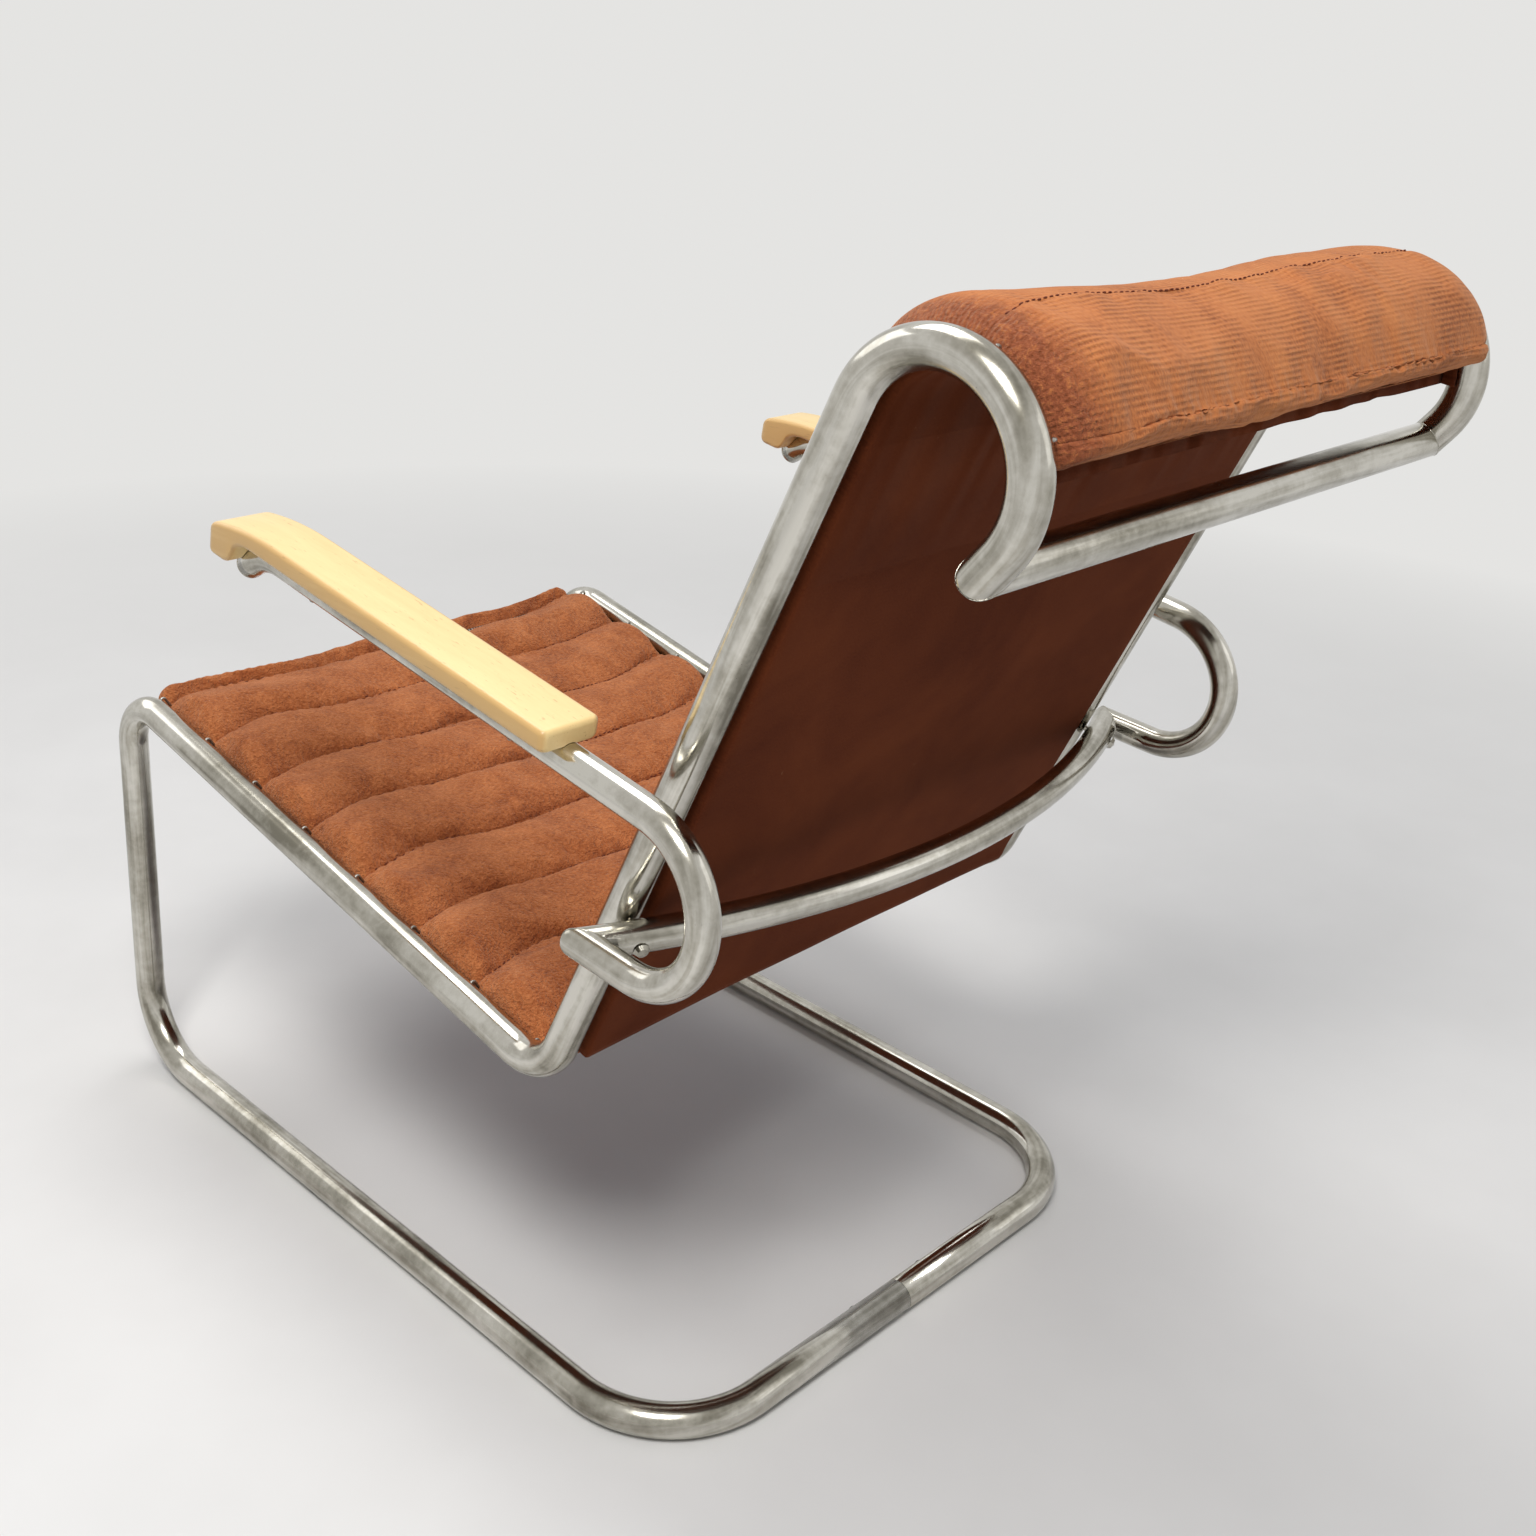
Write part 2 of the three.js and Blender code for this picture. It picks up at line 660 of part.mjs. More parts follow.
const padHalfWidth = frameHalfWidth - tubeRadius - padGap;
const padBase = -springDepth + springDiameter / 2 + fitGap;

function channelledPad(stations, placer, heightShares) {
  const rings = stations.map(({ along, thickness, pull }) => {
    const place = (height, x) => placer(along, height, x);
    return padRing(place, padHalfWidth - seamPull * pull, padBase, thickness, heightShares);
  });
  return loft(rings);
}

function seatPad() {
  const seams = evenSeams(seatPadStart, seatFirstSeam, seatPadEnd);
  return channelledPad(padStations(seams, padSeam, padCrest, channelShares), seatPlace, padHeightShares);
}

function backPad() {
  const seams = evenSeams(backPadStart, backFirstSeam, backPadEnd);
  return channelledPad(padStations(seams, padSeam, padCrest, channelShares), uprightPlace, padHeightShares);
}

function headrestPad() {
  const seams = [0, hookStartDegrees - headrestSeamDegrees, hookStartDegrees - headrestEndDegrees];
  const placer = (along, height, x) => hookPlace(hookStartDegrees - along, hookRadius + height, x);
  const stations = padStations(seams, headrestSeam, headrestCrest, rollShares);
  return channelledPad(stations, placer, headrestHeightShares);
}

const clothHalfWidth = frameHalfWidth - tubeRadius - fitGap;

// A thin cloth along a row of places, each given as a function of height and distance across
function clothStrip(places, top) {
  const bottom = top - clothThickness;
  const rings = places.map((place) => [
    place(top, -clothHalfWidth), place(top, clothHalfWidth),
    place(bottom, clothHalfWidth), place(bottom, -clothHalfWidth),
  ]);
  return loft(rings);
}

const clothTop = -springDepth - springDiameter / 2 - fitGap;

function seatCloth() {
  const ends = [seatClothStart, seatLength - seatClothRearGap];
  const places = ends.map((along) => (height, x) => seatPlace(along, height, x));
  return clothStrip(places, clothTop);
}

// The back's cloth runs up behind the springs and on round the inside of the hooks
function backCloth() {
  const ends = [backClothStart, uprightLength];
  const places = ends.map((along) => (height, x) => uprightPlace(along, height, x));
  const span = hookStartDegrees - backClothEndDegrees;
  const count = Math.ceil(span / bendStepDegrees);
  for (let step = 1; step <= count; step += 1) {
    const degrees = hookStartDegrees - span * step / count;
    places.push((height, x) => hookPlace(degrees, hookRadius + height, x));
  }
  return clothStrip(places, clothTop);
}

// The whole chair
const sideNames = [['left', 1], ['right', -1]];
for (const [name, side] of sideNames) {
  addPiece(`frame_tube_${name}`, frameTube(side), steel);
  addPiece(`base_joint_screw_${name}`, sleeveScrew(side), zinc);
  addPiece(`arm_tube_${name}`, armTube(side), steel);
  addPiece(`arm_bar_screw_${name}`, barScrew(side), steel);
  addPiece(`arm_bar_nut_${name}`, barNut(side), zinc);
  addPiece(`arm_tube_plug_${name}`, armPlug(side), steel);
  addPiece(`armrest_${name}`, armrest(side), beech);
  armrestScrewShares.forEach((share, index) => {
    const end = index === 0 ? 'rear' : 'front';
    addPiece(`armrest_screw_${name}_${end}`, armrestScrew(side, share), zinc);
  });
}
addPiece('base_joint_sleeve', baseSleeve(), zinc);
addPiece('top_bar', topBar(), steel);
addPiece('arm_cross_bar', armCrossBar(), steel);
addPiece('seat_pad', seatPad(), terry);
addPiece('back_pad', backPad(), terry);
addPiece('headrest_pad', headrestPad(), terry);
addPiece('seat_cloth', seatCloth(), backcloth);
addPiece('back_cloth', backCloth(), backcloth);

let springNumber = 0;
for (let along = seatFirstSeam; along < seatPadEnd - channelPitch / 4; along += channelPitch) {
  springNumber += 1;
  addPiece(`seat_spring_${springNumber}`, crossSpring(seatPlace(along, -springDepth)), zinc);
}
springNumber = 0;
for (let along = backFirstSeam; along < backPadEnd - channelPitch / 4; along += channelPitch) {
  springNumber += 1;
  addPiece(`back_spring_${springNumber}`, crossSpring(uprightPlace(along, -springDepth)), zinc);
}
headrestSpringDegrees.forEach((degrees, index) => {
  addPiece(`headrest_spring_${index + 1}`, crossSpring(hookPlace(degrees, hookRadius - springDepth)), zinc);
});

// The origin lies on the floor under the middle of the chair
const outline = new THREE.Box3().setFromObject(chair);
chair.position.y = -(outline.min.y + outline.max.y) / 2;

export default group;
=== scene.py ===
"""A cantilever lounge chair: bent, plated steel tube with a channelled terry seat, back and headrest.

Metres, +Z up. X runs across the chair, the sitter faces -Y, and +X is the sitter's left.
The chair is drawn in its side plane, as (y, z), and every size below is the real one.
"""

import json
import logging
import math
from dataclasses import dataclass, field
from enum import Enum
from typing import Callable, Iterable, Optional

import bmesh
import bpy
import numpy as np
from mathutils import Matrix, Vector, noise
from mathutils.bvhtree import BVHTree


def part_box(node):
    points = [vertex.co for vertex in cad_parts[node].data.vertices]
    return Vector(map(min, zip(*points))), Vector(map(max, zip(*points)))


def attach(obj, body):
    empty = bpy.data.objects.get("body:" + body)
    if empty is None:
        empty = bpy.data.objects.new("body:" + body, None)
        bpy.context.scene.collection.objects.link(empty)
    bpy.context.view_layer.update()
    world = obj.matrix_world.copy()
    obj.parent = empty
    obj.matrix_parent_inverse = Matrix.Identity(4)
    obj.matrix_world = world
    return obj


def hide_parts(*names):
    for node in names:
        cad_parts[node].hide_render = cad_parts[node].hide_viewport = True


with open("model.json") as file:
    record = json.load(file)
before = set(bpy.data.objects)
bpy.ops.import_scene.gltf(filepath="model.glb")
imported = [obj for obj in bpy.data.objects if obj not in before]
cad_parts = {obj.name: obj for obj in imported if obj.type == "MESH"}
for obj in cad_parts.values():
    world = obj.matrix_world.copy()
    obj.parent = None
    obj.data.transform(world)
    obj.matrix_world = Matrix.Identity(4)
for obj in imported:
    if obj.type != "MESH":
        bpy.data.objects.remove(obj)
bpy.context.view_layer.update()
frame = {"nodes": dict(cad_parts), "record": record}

LOG = logging.getLogger("lounge_chair")
MM = 0.001
BODY = "root"
SAME_PLACE = 1e-6
CLOTH_MAP = "cloth"
ROUTE_MAP = "route"

Place = Callable[[float, float, float], Vector]
Piece = bpy.types.Object
Material = bpy.types.Material
Socket = bpy.types.NodeSocket


class Finish(Enum):
    """The record's material slots."""

    TUBE = "tube_metal"
    FASTENER = "fastener_steel"
    BEECH = "beech_wood"
    PAD = "pad_fabric"
    BACK = "back_fabric"


class Side(Enum):
    """The sitter's left and right, as the sign of X."""

    LEFT = 1
    RIGHT = -1

    @property
    def word(self) -> str:
        """The side's name as the nodes spell it."""
        return self.name.lower()


def smooth_step(value: float) -> float:
    """Eases a share from 0 to 1.

    Args:
        value: any number; it is held between 0 and 1.

    Returns:
        The eased share.
    """
    held = min(1.0, max(0.0, value))
    return held * held * (3 - 2 * held)


def ripple(x: float, y: float, z: float) -> float:
    """Smooth noise at a place, from -1 to 1."""
    return noise.noise(Vector((x, y, z)))


def circle(side: Vector, heading: Vector, radius: float, count: int) -> list:
    """Offsets round a circle that lies across a heading, from one side on.

    Args:
        side: the direction of the first place.
        heading: what the circle lies across.
        radius: its radius.
        count: how many places it has.

    Returns:
        The offsets from the circle's centre.
    """
    other = heading.cross(side)
    turns = (math.tau * number / count for number in range(count))
    return [(side * math.cos(turn) + other * math.sin(turn)) * radius for turn in turns]


def grid_faces(rows: int, columns: int, ring: bool = True, loop: bool = False) -> list:
    """The faces of a grid of vertices that are numbered row by row.

    Args:
        rows: how many rows it has.
        columns: how many vertices each row has.
        ring: whether the last column joins on to the first.
        loop: whether the last row joins on to the first.

    Returns:
        Faces of four vertices.
    """
    faces = []
    for row in range(rows if loop else rows - 1):
        low, high = row * columns, (row + 1) % rows * columns
        for column in range(columns if ring else columns - 1):
            after = (column + 1) % columns
            faces.append((low + column, low + after, high + after, high + column))
    return faces


def finish_mesh(name: str, vertices: Iterable, faces: Iterable, edges: Iterable = ()) -> Piece:
    """Makes a smooth mesh object at the origin.

    Args:
        name: the piece's name.
        vertices: places in metres.
        faces: lists of vertex numbers, counter-clockwise from outside.
        edges: pairs of vertex numbers, for a mesh of lines.

    Returns:
        The new object, linked to the scene.
    """
    mesh = bpy.data.meshes.new(name)
    mesh.from_pydata([tuple(v) for v in vertices], list(edges), [tuple(f) for f in faces])
    mesh.validate()
    mesh.shade_smooth()
    piece = bpy.data.objects.new(name, mesh)
    bpy.context.scene.collection.objects.link(piece)
    return piece


def face_out(piece: Piece, merge: float = 0.0) -> None:
    """Turns every face of a closed piece outwards.

    Args:
        piece: the mesh object.
        merge: how near two vertices are to be merged first, or 0 to merge none.
    """
    working = bmesh.new()
    working.from_mesh(piece.data)
    if merge:
        bmesh.ops.remove_doubles(working, verts=working.verts, dist=merge)
    bmesh.ops.recalc_face_normals(working, faces=working.faces)
    working.to_mesh(piece.data)
    working.free()


def baked(piece: Piece) -> Piece:
    """Replaces a piece's mesh by what its modifiers make, and removes them.

    Args:
        piece: the object with live modifiers.

    Returns:
        The same object.
    """
    graph = bpy.context.evaluated_depsgraph_get()
    graph.update()
    result = bpy.data.meshes.new_from_object(piece.evaluated_get(graph), depsgraph=graph)
    result.name = piece.name
    piece.modifiers.clear()
    piece.data = result
    return piece


def mount(piece: Piece, material: Material, finish: Finish, *nodes: str) -> Piece:
    """Gives a piece its material, its body and the CAD nodes that it stands for.

    Args:
        piece: the finished mesh object.
        material: its material.
        finish: the record's slot that the material belongs to; it is not used.
        nodes: the CAD nodes that it replaces.

    Returns:
        The same object.
    """
    piece.data.materials.clear()
    piece.data.materials.append(material)
    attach(piece, BODY)
    if nodes:
        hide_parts(*nodes)
    LOG.info("%s: %d faces, stands for %s", piece.name, len(piece.data.polygons), ", ".join(nodes) or "nothing")
    return piece


class TubeRoute:
    """A tube's centre line as stations: straight runs take one step and bends take many."""

    STEP_DEGREES = 3.0
    MITRE_STEPS = 12
    MITRE_RUN_SHARE = 1.15

    def __init__(self, start: Vector, direction: Vector) -> None:
        """Starts the route.

        Args:
            start: the first place.
            direction: where the tube heads from there.
        """
        self.points = [start.copy()]
        self.headings = [direction.normalized()]

    @property
    def tip(self) -> Vector:
        """The last place."""
        return self.points[-1]

    @property
    def heading(self) -> Vector:
        """The last heading."""
        return self.headings[-1]

    def straight(self, length: float, steps: int = 1) -> "TubeRoute":
        """Runs straight on.

        Args:
            length: how far.
            steps: how many stations that takes.

        Returns:
            The route itself.
        """
        start, heading = self.tip.copy(), self.heading.copy()
        for step in range(1, steps + 1):
            self.points.append(start + heading * (length * step / steps))
            self.headings.append(heading.copy())
        return self

    def bend(self, inward: Vector, radius: float, degrees: float, steps: int = 0) -> "TubeRoute":
        """Runs round an arc.

        Args:
            inward: the direction from the start of the bend to its centre.
            radius: the bend's radius.
            degrees: how far it turns.
            steps: how many stations that takes, or 0 for the usual number.

        Returns:
            The route itself.
        """
        start, heading = self.tip.copy(), self.heading.copy()
        count = steps or max(2, math.ceil(degrees / self.STEP_DEGREES))
        for step in range(1, count + 1):
            angle = math.radians(degrees) * step / count
            inwards = inward * radius * (1 - math.cos(angle))
            self.points.append(start + heading * radius * math.sin(angle) + inwards)
            self.headings.append((heading * math.cos(angle) + inward * math.sin(angle)).normalized())
        return self

    def corner(self, corner: Vector, after: Vector, radius: float) -> "TubeRoute":
        """Runs to a corner and round it.

        Args:
            corner: where the two straight lines would meet.
            after: the next corner, which the route then heads for.
            radius: the bend's radius.

        Returns:
            The route itself.
        """
        leaving = (after - corner).normalized()
        angle = self.heading.angle(leaving)
        inward = (leaving - self.heading * self.heading.dot(leaving)).normalized()
        self.straight((corner - self.tip).length - radius * math.tan(angle / 2))
        return self.bend(inward, radius, math.degrees(angle))

    def stations(self, run: float, start_plane: Optional[Vector], end_plane: Optional[Vector]) -> list:
        """The tube's rings, which slant by steps towards a mitred end.

        Args:
            run: how far before a mitre its slant begins.
            start_plane: the normal of the plane through the first place that cuts the start, if any.
            end_plane: the same for the end.

        Returns:
            For each ring its place, its heading, the plane that it slants to and how much, from 0 to 1.
        """
        rows = [(point, heading, None, 0.0) for point, heading in zip(self.points, self.headings)]
        steps = self.MITRE_STEPS
        for plane, end, heading in ((start_plane, self.points[0], self.headings[0]),
                                    (end_plane, self.tip, -self.heading)):
            if plane is None:
                continue
            rows = [row for row in rows if (row[0] - end).length > run * 1.05]
            slanted = []
            for step in range(steps + 1):
                facing = heading if plane is start_plane else -heading
                slanted.append((end + heading * (run * step / steps), facing, plane, 1 - step / steps))
            rows = slanted + rows if plane is start_plane else rows + slanted[::-1]
        return rows

    def sweep(
        self,
        name: str,
        radius: float,
        sides: int = 40,
        start_plane: Optional[Vector] = None,
        end_plane: Optional[Vector] = None,
    ) -> Piece:
        """Makes the tube's skin along the route.

        Args:
            name: the piece's name.
            radius: the tube's outer radius.
            sides: how many sides its section has.
            start_plane: the normal of the plane through the first place that cuts the start, if any.
            end_plane: the same for the end.

        Returns:
            A closed tube with flat ends. Its attribute "route" holds each place's offset from the centre line,
            the same on both sides of the chair, and its distance along the route.
        """
        side = self.headings[0].orthogonal().normalized()
        rings, marks, run, before = [], [], 0.0, None
        stations = self.stations(radius * self.MITRE_RUN_SHARE, start_plane, end_plane)
        for point, heading, plane, slant in stations:
            side = (side - heading * heading.dot(side)).normalized()
            run += (point - before).length if before is not None else 0.0
            before = point
            ring = []
            for offset in circle(side, heading, radius, sides):
                marks += (abs(offset.x) + offset.z, offset.y, run)
                if plane is not None:
                    offset -= heading * (slant * offset.dot(plane) / heading.dot(plane))
                ring.append(point + offset)
            rings.append(ring)
        tube = loft(name, rings)
        tube.data.attributes.new(ROUTE_MAP, "FLOAT_VECTOR", "POINT").data.foreach_set("vector", marks)
        return tube


def soften_corner(piece: Piece, corner: Vector, into: Vector, radius: float, reach: float) -> None:
    """Rounds off the point of a mitred corner towards a ball, as a filed weld is.

    Args:
        piece: the tube or bead to change.
        corner: where the centre lines meet.
        into: from the corner into the piece, along its centre line.
        radius: the tube's radius.
        reach: how far from the corner the rounded point may lie.
    """
    room = reach - radius
    for vertex in piece.data.vertices:
        offset = vertex.co - corner
        if offset.dot(into) < 0 and radius < offset.length < 2 * reach:
            held = radius + room * math.tanh((offset.length - radius) / room)
            vertex.co = corner + offset * (held / offset.length)


def loft(name: str, rings: list) -> Piece:
    """Skins a row of closed rings and closes both ends.

    Args:
        name: the piece's name.
        rings: rings of places, each as long as the others.

    Returns:
        The closed mesh object.
    """
    count = len(rings[0])
    vertices = [place for ring in rings for place in ring]
    faces = grid_faces(len(rings), count)
    faces.append(tuple(reversed(range(count))))
    last = (len(rings) - 1) * count
    faces.append(tuple(range(last, last + count)))
    piece = finish_mesh(name, vertices, faces)
    piece.data.polygons[len(faces) - 1].use_smooth = False
    piece.data.polygons[len(faces) - 2].use_smooth = False
    return piece


@dataclass
class SideProfile:
    """The sizes of the frame's side view, and the places that it gives."""

    half_width: float = 250 * MM
    tube_radius: float = 12.5 * MM
    base_front: float = -454 * MM
    base_rear: float = 241.5 * MM
    base_corner_radius: float = 90 * MM
    foot_bend_radius: float = 70 * MM
    seat_front: tuple = (-463 * MM, 363.5 * MM)
    seat_front_radius: float = 40 * MM
    seat_rear: tuple = (108.5 * MM, 252 * MM)
    seat_rear_radius: float = 46 * MM
    upright_top: tuple = (345.5 * MM, 780 * MM)
    hook_radius: float = 60.4 * MM
    hook_sweep: float = 194.0
    hook_tail: float = 15 * MM
    shift: float = field(init=False)

    def __post_init__(self) -> None:
        """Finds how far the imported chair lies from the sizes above, by its joint sleeve."""
        low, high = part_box("base_joint_sleeve")
        self.shift = (low[1] + high[1]) / 2 - self.base_rear

    def at(self, x: float, y: float, z: float) -> Vector:
        """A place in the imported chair's frame."""
        return Vector((x, y + self.shift, z))

    def spot(self, pair: tuple, x: float = 0.0) -> Vector:
        """A corner of the side view at a distance across the chair."""
        return self.at(x, pair[0], pair[1])

    @property
    def seat_line(self) -> Vector:
        """The direction of the seat rail towards the rear."""
        return (self.spot(self.seat_rear) - self.spot(self.seat_front)).normalized()

    @property
    def seat_normal(self) -> Vector:
        """Up from the seat."""
        return turned(self.seat_line, 90)

    @property
    def upright_line(self) -> Vector:
        """The direction of the upright towards its top."""
        return (self.spot(self.upright_top) - self.spot(self.seat_rear)).normalized()

    @property
    def upright_normal(self) -> Vector:
        """Forward from the back."""
        return turned(self.upright_line, 90)

    @property
    def upright_length(self) -> float:
        """From the seat's rear corner to the start of the hook."""
        return (self.spot(self.upright_top) - self.spot(self.seat_rear)).length

    @property
    def hook_centre(self) -> Vector:
        """The centre of the hook's bend."""
        return self.spot(self.upright_top) - self.upright_normal * self.hook_radius

    @property
    def hook_start(self) -> float:
        """The angle, over the horizontal towards the rear, at which the hook starts."""
        normal = self.upright_normal
        return math.degrees(math.atan2(normal.z, normal.y))

    def seat_place(self, along: float, height: float, x: float) -> Vector:
        """A place on the seat, by its distance from the front corner and its height over the rails."""
        place = self.spot(self.seat_front) + self.seat_line * along + self.seat_normal * height
        return Vector((x, place.y, place.z))

    def upright_place(self, along: float, height: float, x: float) -> Vector:
        """A place on the back, by its distance from the seat and its height before the uprights."""
        place = self.spot(self.seat_rear) + self.upright_line * along + self.upright_normal * height
        return Vector((x, place.y, place.z))

    def hook_place(self, degrees: float, radius: float, x: float) -> Vector:
        """A place round the hook, by its angle over the horizontal towards the rear.

        Args:
            degrees: the angle in degrees.
            radius: the distance from the hook's centre.
            x: the distance across the chair, from its middle.

        Returns:
            The place.
        """
        outward = turned(Vector((0, 1, 0)), degrees)
        place = self.hook_centre + outward * radius
        return Vector((x, place.y, place.z))

    def back_place(self, along: float, height: float, x: float) -> Vector:
        """A place on the back that follows on round the hook past the upright's top.

        Args:
            along: the distance along the piece.
            height: the height over the line of the tubes.
            x: the distance across the chair, from its middle.

        Returns:
            The place.
        """
        if along <= self.upright_length:
            return self.upright_place(along, height, x)
        turn = math.degrees((along - self.upright_length) / self.hook_radius)
        return self.hook_place(self.hook_start - turn, self.hook_radius + height, x)

    def hook_reach(self, degrees: float) -> float:
        """The distance along the back at which an angle round the hook lies."""
        return self.upright_length + math.radians(self.hook_start - degrees) * self.hook_radius


def turned(vector: Vector, degrees: float) -> Vector:
    """Turns a vector about the X axis.

    Args:
        vector: the vector.
        degrees: the angle, positive from +Y towards +Z.

    Returns:
        The turned vector.
    """
    return Matrix.Rotation(math.radians(degrees), 3, "X") @ vector


@dataclass(frozen=True)
class NodeMaker:
    """Builds one node tree, with short calls for its usual nodes.

    An input's value is a socket, which is linked, or a constant, which is set.
    """

    tree: bpy.types.NodeTree
    material: Optional[Material] = None

    @classmethod
    def named(cls, name: str, **values: object) -> "NodeMaker":
        """A new material with one shader, whose sockets are set; an underscore stands for a space.

        Args:
            name: the material's name.
            values: what its shader's sockets are set to.

        Returns:
            The material's maker.
        """
        material = bpy.data.materials.new(name)
        material.use_nodes = True
        make = cls(material.node_tree, material)
        for socket, value in values.items():
            make.shader.inputs[socket.replace("_", " ")].default_value = value
        return make

    @property
    def shader(self) -> bpy.types.Node:
        """The material's one shader."""
        return self.tree.nodes["Principled BSDF"]

    def feed(self, target: Socket, value: object) -> None:
        """Links an input to a socket, or sets it to a constant.

        Args:
            target: the socket.
            value: a socket or a constant.
        """
        if isinstance(value, Socket):
            self.tree.links.new(value, target)
        else:
            target.default_value = value

    def node(self, kind: str, inputs: Optional[dict] = None, **settings: object) -> bpy.types.Node:
        """A new node with its properties set, and its inputs fed by name or number.

        Args:
            kind: the node's type.
            inputs: sockets or constants by name or number.
            settings: the node's properties.

        Returns:
            The node.
        """
        new = self.tree.nodes.new(kind)
        for name, value in settings.items():
            setattr(new, name, value)
        for name, value in (inputs or {}).items():
            self.feed(new.inputs[name], value)
        return new

    def mapped(self, source: Socket, scale: tuple, turn: tuple = (0, 0, 0)) -> Socket:
        """Coordinates, turned and scaled."""
        inputs = {"Vector": source, "Rotation": turn, "Scale": scale}
        return self.node("ShaderNodeMapping", inputs).outputs["Vector"]

    def coordinates(self, turn: tuple = (0, 0, 0), scale: tuple = (1, 1, 1)) -> Socket:
        """Object coordinates, turned and scaled."""
        return self.mapped(self.node("ShaderNodeTexCoord").outputs["Object"], scale, turn)

    def route_coordinates(self, scale: tuple) -> Socket:
        """A tube's own places, round its section and along its route, scaled."""
        return self.mapped(self.node("ShaderNodeAttribute", attribute_name=ROUTE_MAP).outputs["Vector"], scale)

    def cloth_coordinates(self, scale: tuple = (1, 1, 1)) -> Socket:
        """The piece's own cloth map, in metres across and along, scaled."""
        return self.mapped(self.node("ShaderNodeUVMap", uv_map=CLOTH_MAP).outputs["UV"], scale)

    def noise(self, vector: Socket, scale: float, detail: float, rough: float, bent: float = 0.0) -> Socket:
        """The value of a noise texture."""
        inputs = {"Vector": vector, "Scale": scale, "Detail": detail, "Roughness": rough, "Distortion": bent}
        return self.node("ShaderNodeTexNoise", inputs).outputs["Fac"]

    def cells(self, vector: Socket, scale: float) -> Socket:
        """The distance of a cell texture."""
        return self.node("ShaderNodeTexVoronoi", {"Vector": vector, "Scale": scale}).outputs["Distance"]

    def axis(self, vector: Socket, name: str) -> Socket:
        """One part of a vector: X, Y or Z."""
        return self.node("ShaderNodeSeparateXYZ", {0: vector}).outputs[name]

    def ramp(self, value: Socket, stops: tuple, *colours: tuple) -> Socket:
        """A colour ramp from its stops' shares and as many colours.

        Args:
            value: the value.
            stops: the place of each stop, from 0 to 1.
            colours: the colour of each stop.

        Returns:
            The colour.
        """
        new = self.node("ShaderNodeValToRGB", {"Fac": value})
        band = new.color_ramp
        while len(band.elements) < len(stops):
            band.elements.new(0.5)
        for element, share, colour in zip(band.elements, stops, colours):
            element.position = share
            element.color = (*colour, 1.0)
        return new.outputs["Color"]

    def spread(self, value: Socket, low: float, high: float, to_low: float, to_high: float) -> Socket:
        """Maps a value from one range to another."""
        inputs = {"Value": value, "From Min": low, "From Max": high, "To Min": to_low, "To Max": to_high}
        return self.node("ShaderNodeMapRange", inputs).outputs["Result"]

    def mix(self, share: Socket, first: Socket, second: object) -> Socket:
        """Mixes two colours by a share; the second is a socket or (red, green, blue).

        Args:
            share: how much of the second colour is taken.
            first: the first colour.
            second: the second colour.

        Returns:
            The mixed colour.
        """
        new = self.node("ShaderNodeMix", {"Factor": share}, data_type="RGBA")
        colours = [socket for socket in new.inputs if socket.type == "RGBA"]
        self.feed(colours[0], first)
        self.feed(colours[1], second if isinstance(second, Socket) else (*second, 1.0))
        return next(socket for socket in new.outputs if socket.type == "RGBA")

    def math(self, operation: str, *values: object) -> Socket:
        """One operation on one or two values."""
        return self.node("ShaderNodeMath", dict(enumerate(values)), operation=operation).outputs["Value"]

    def weighted(self, weights: tuple, *values: Socket) -> Socket:
        """The sum of values, each times its weight.

        Args:
            weights: the weight of each value.
            values: the values.

        Returns:
            The sum.
        """
        total = None
        for value, weight in zip(values, weights):
            part = self.math("MULTIPLY", value, weight)
            total = part if total is None else self.math("ADD", total, part)
        return total

    def bump(self, height: Socket, depth: float, strength: float, under: Optional[Socket] = None) -> Socket:
        """A bump of a height texture, over another normal if given.

        Args:
            height: the height texture.
            depth: how deep it is in metres.
            strength: how strongly it shows.
            under: the normal below it, if any.

        Returns:
            The normal.
        """
        inputs = {"Strength": strength, "Distance": depth, "Height": height}
        if under is not None:
            inputs["Normal"] = under
        return self.node("ShaderNodeBump", inputs).outputs["Normal"]

    def seen_share(self) -> Socket:
        """1 where the camera or a shiny surface looks, and 0 for the light that falls on the chair."""
        path = self.node("ShaderNodeLightPath")
        return self.math("MAXIMUM", path.outputs["Is Camera Ray"], path.outputs["Is Glossy Ray"])

    def blend_out(self, share: Socket, first: Socket, second: Socket, output: str) -> None:
        """Blends two shaders by a share into the tree's output node."""
        blend = self.node("ShaderNodeMixShader", {0: share, 1: first, 2: second})
        self.feed(self.tree.nodes[output].inputs["Surface"], blend.outputs["Shader"])

    def finish(self, colour: Socket, normal: Socket, roughness: Optional[Socket] = None) -> Material:
        """Joins the colour, the normal and, if given, the roughness to the shader.

        Args:
            colour: the colour.
            normal: the normal.
            roughness: the roughness, if any.

        Returns:
            The finished material.
        """
        for name, value in (("Base Color", colour), ("Normal", normal), ("Roughness", roughness)):
            if value is not None:
                self.feed(self.shader.inputs[name], value)
        return self.material


# In the finishes below a noise is (scale, detail, roughness, distortion), a relief is (depth, strength),
# and a range is (from low, from high, to low, to high).


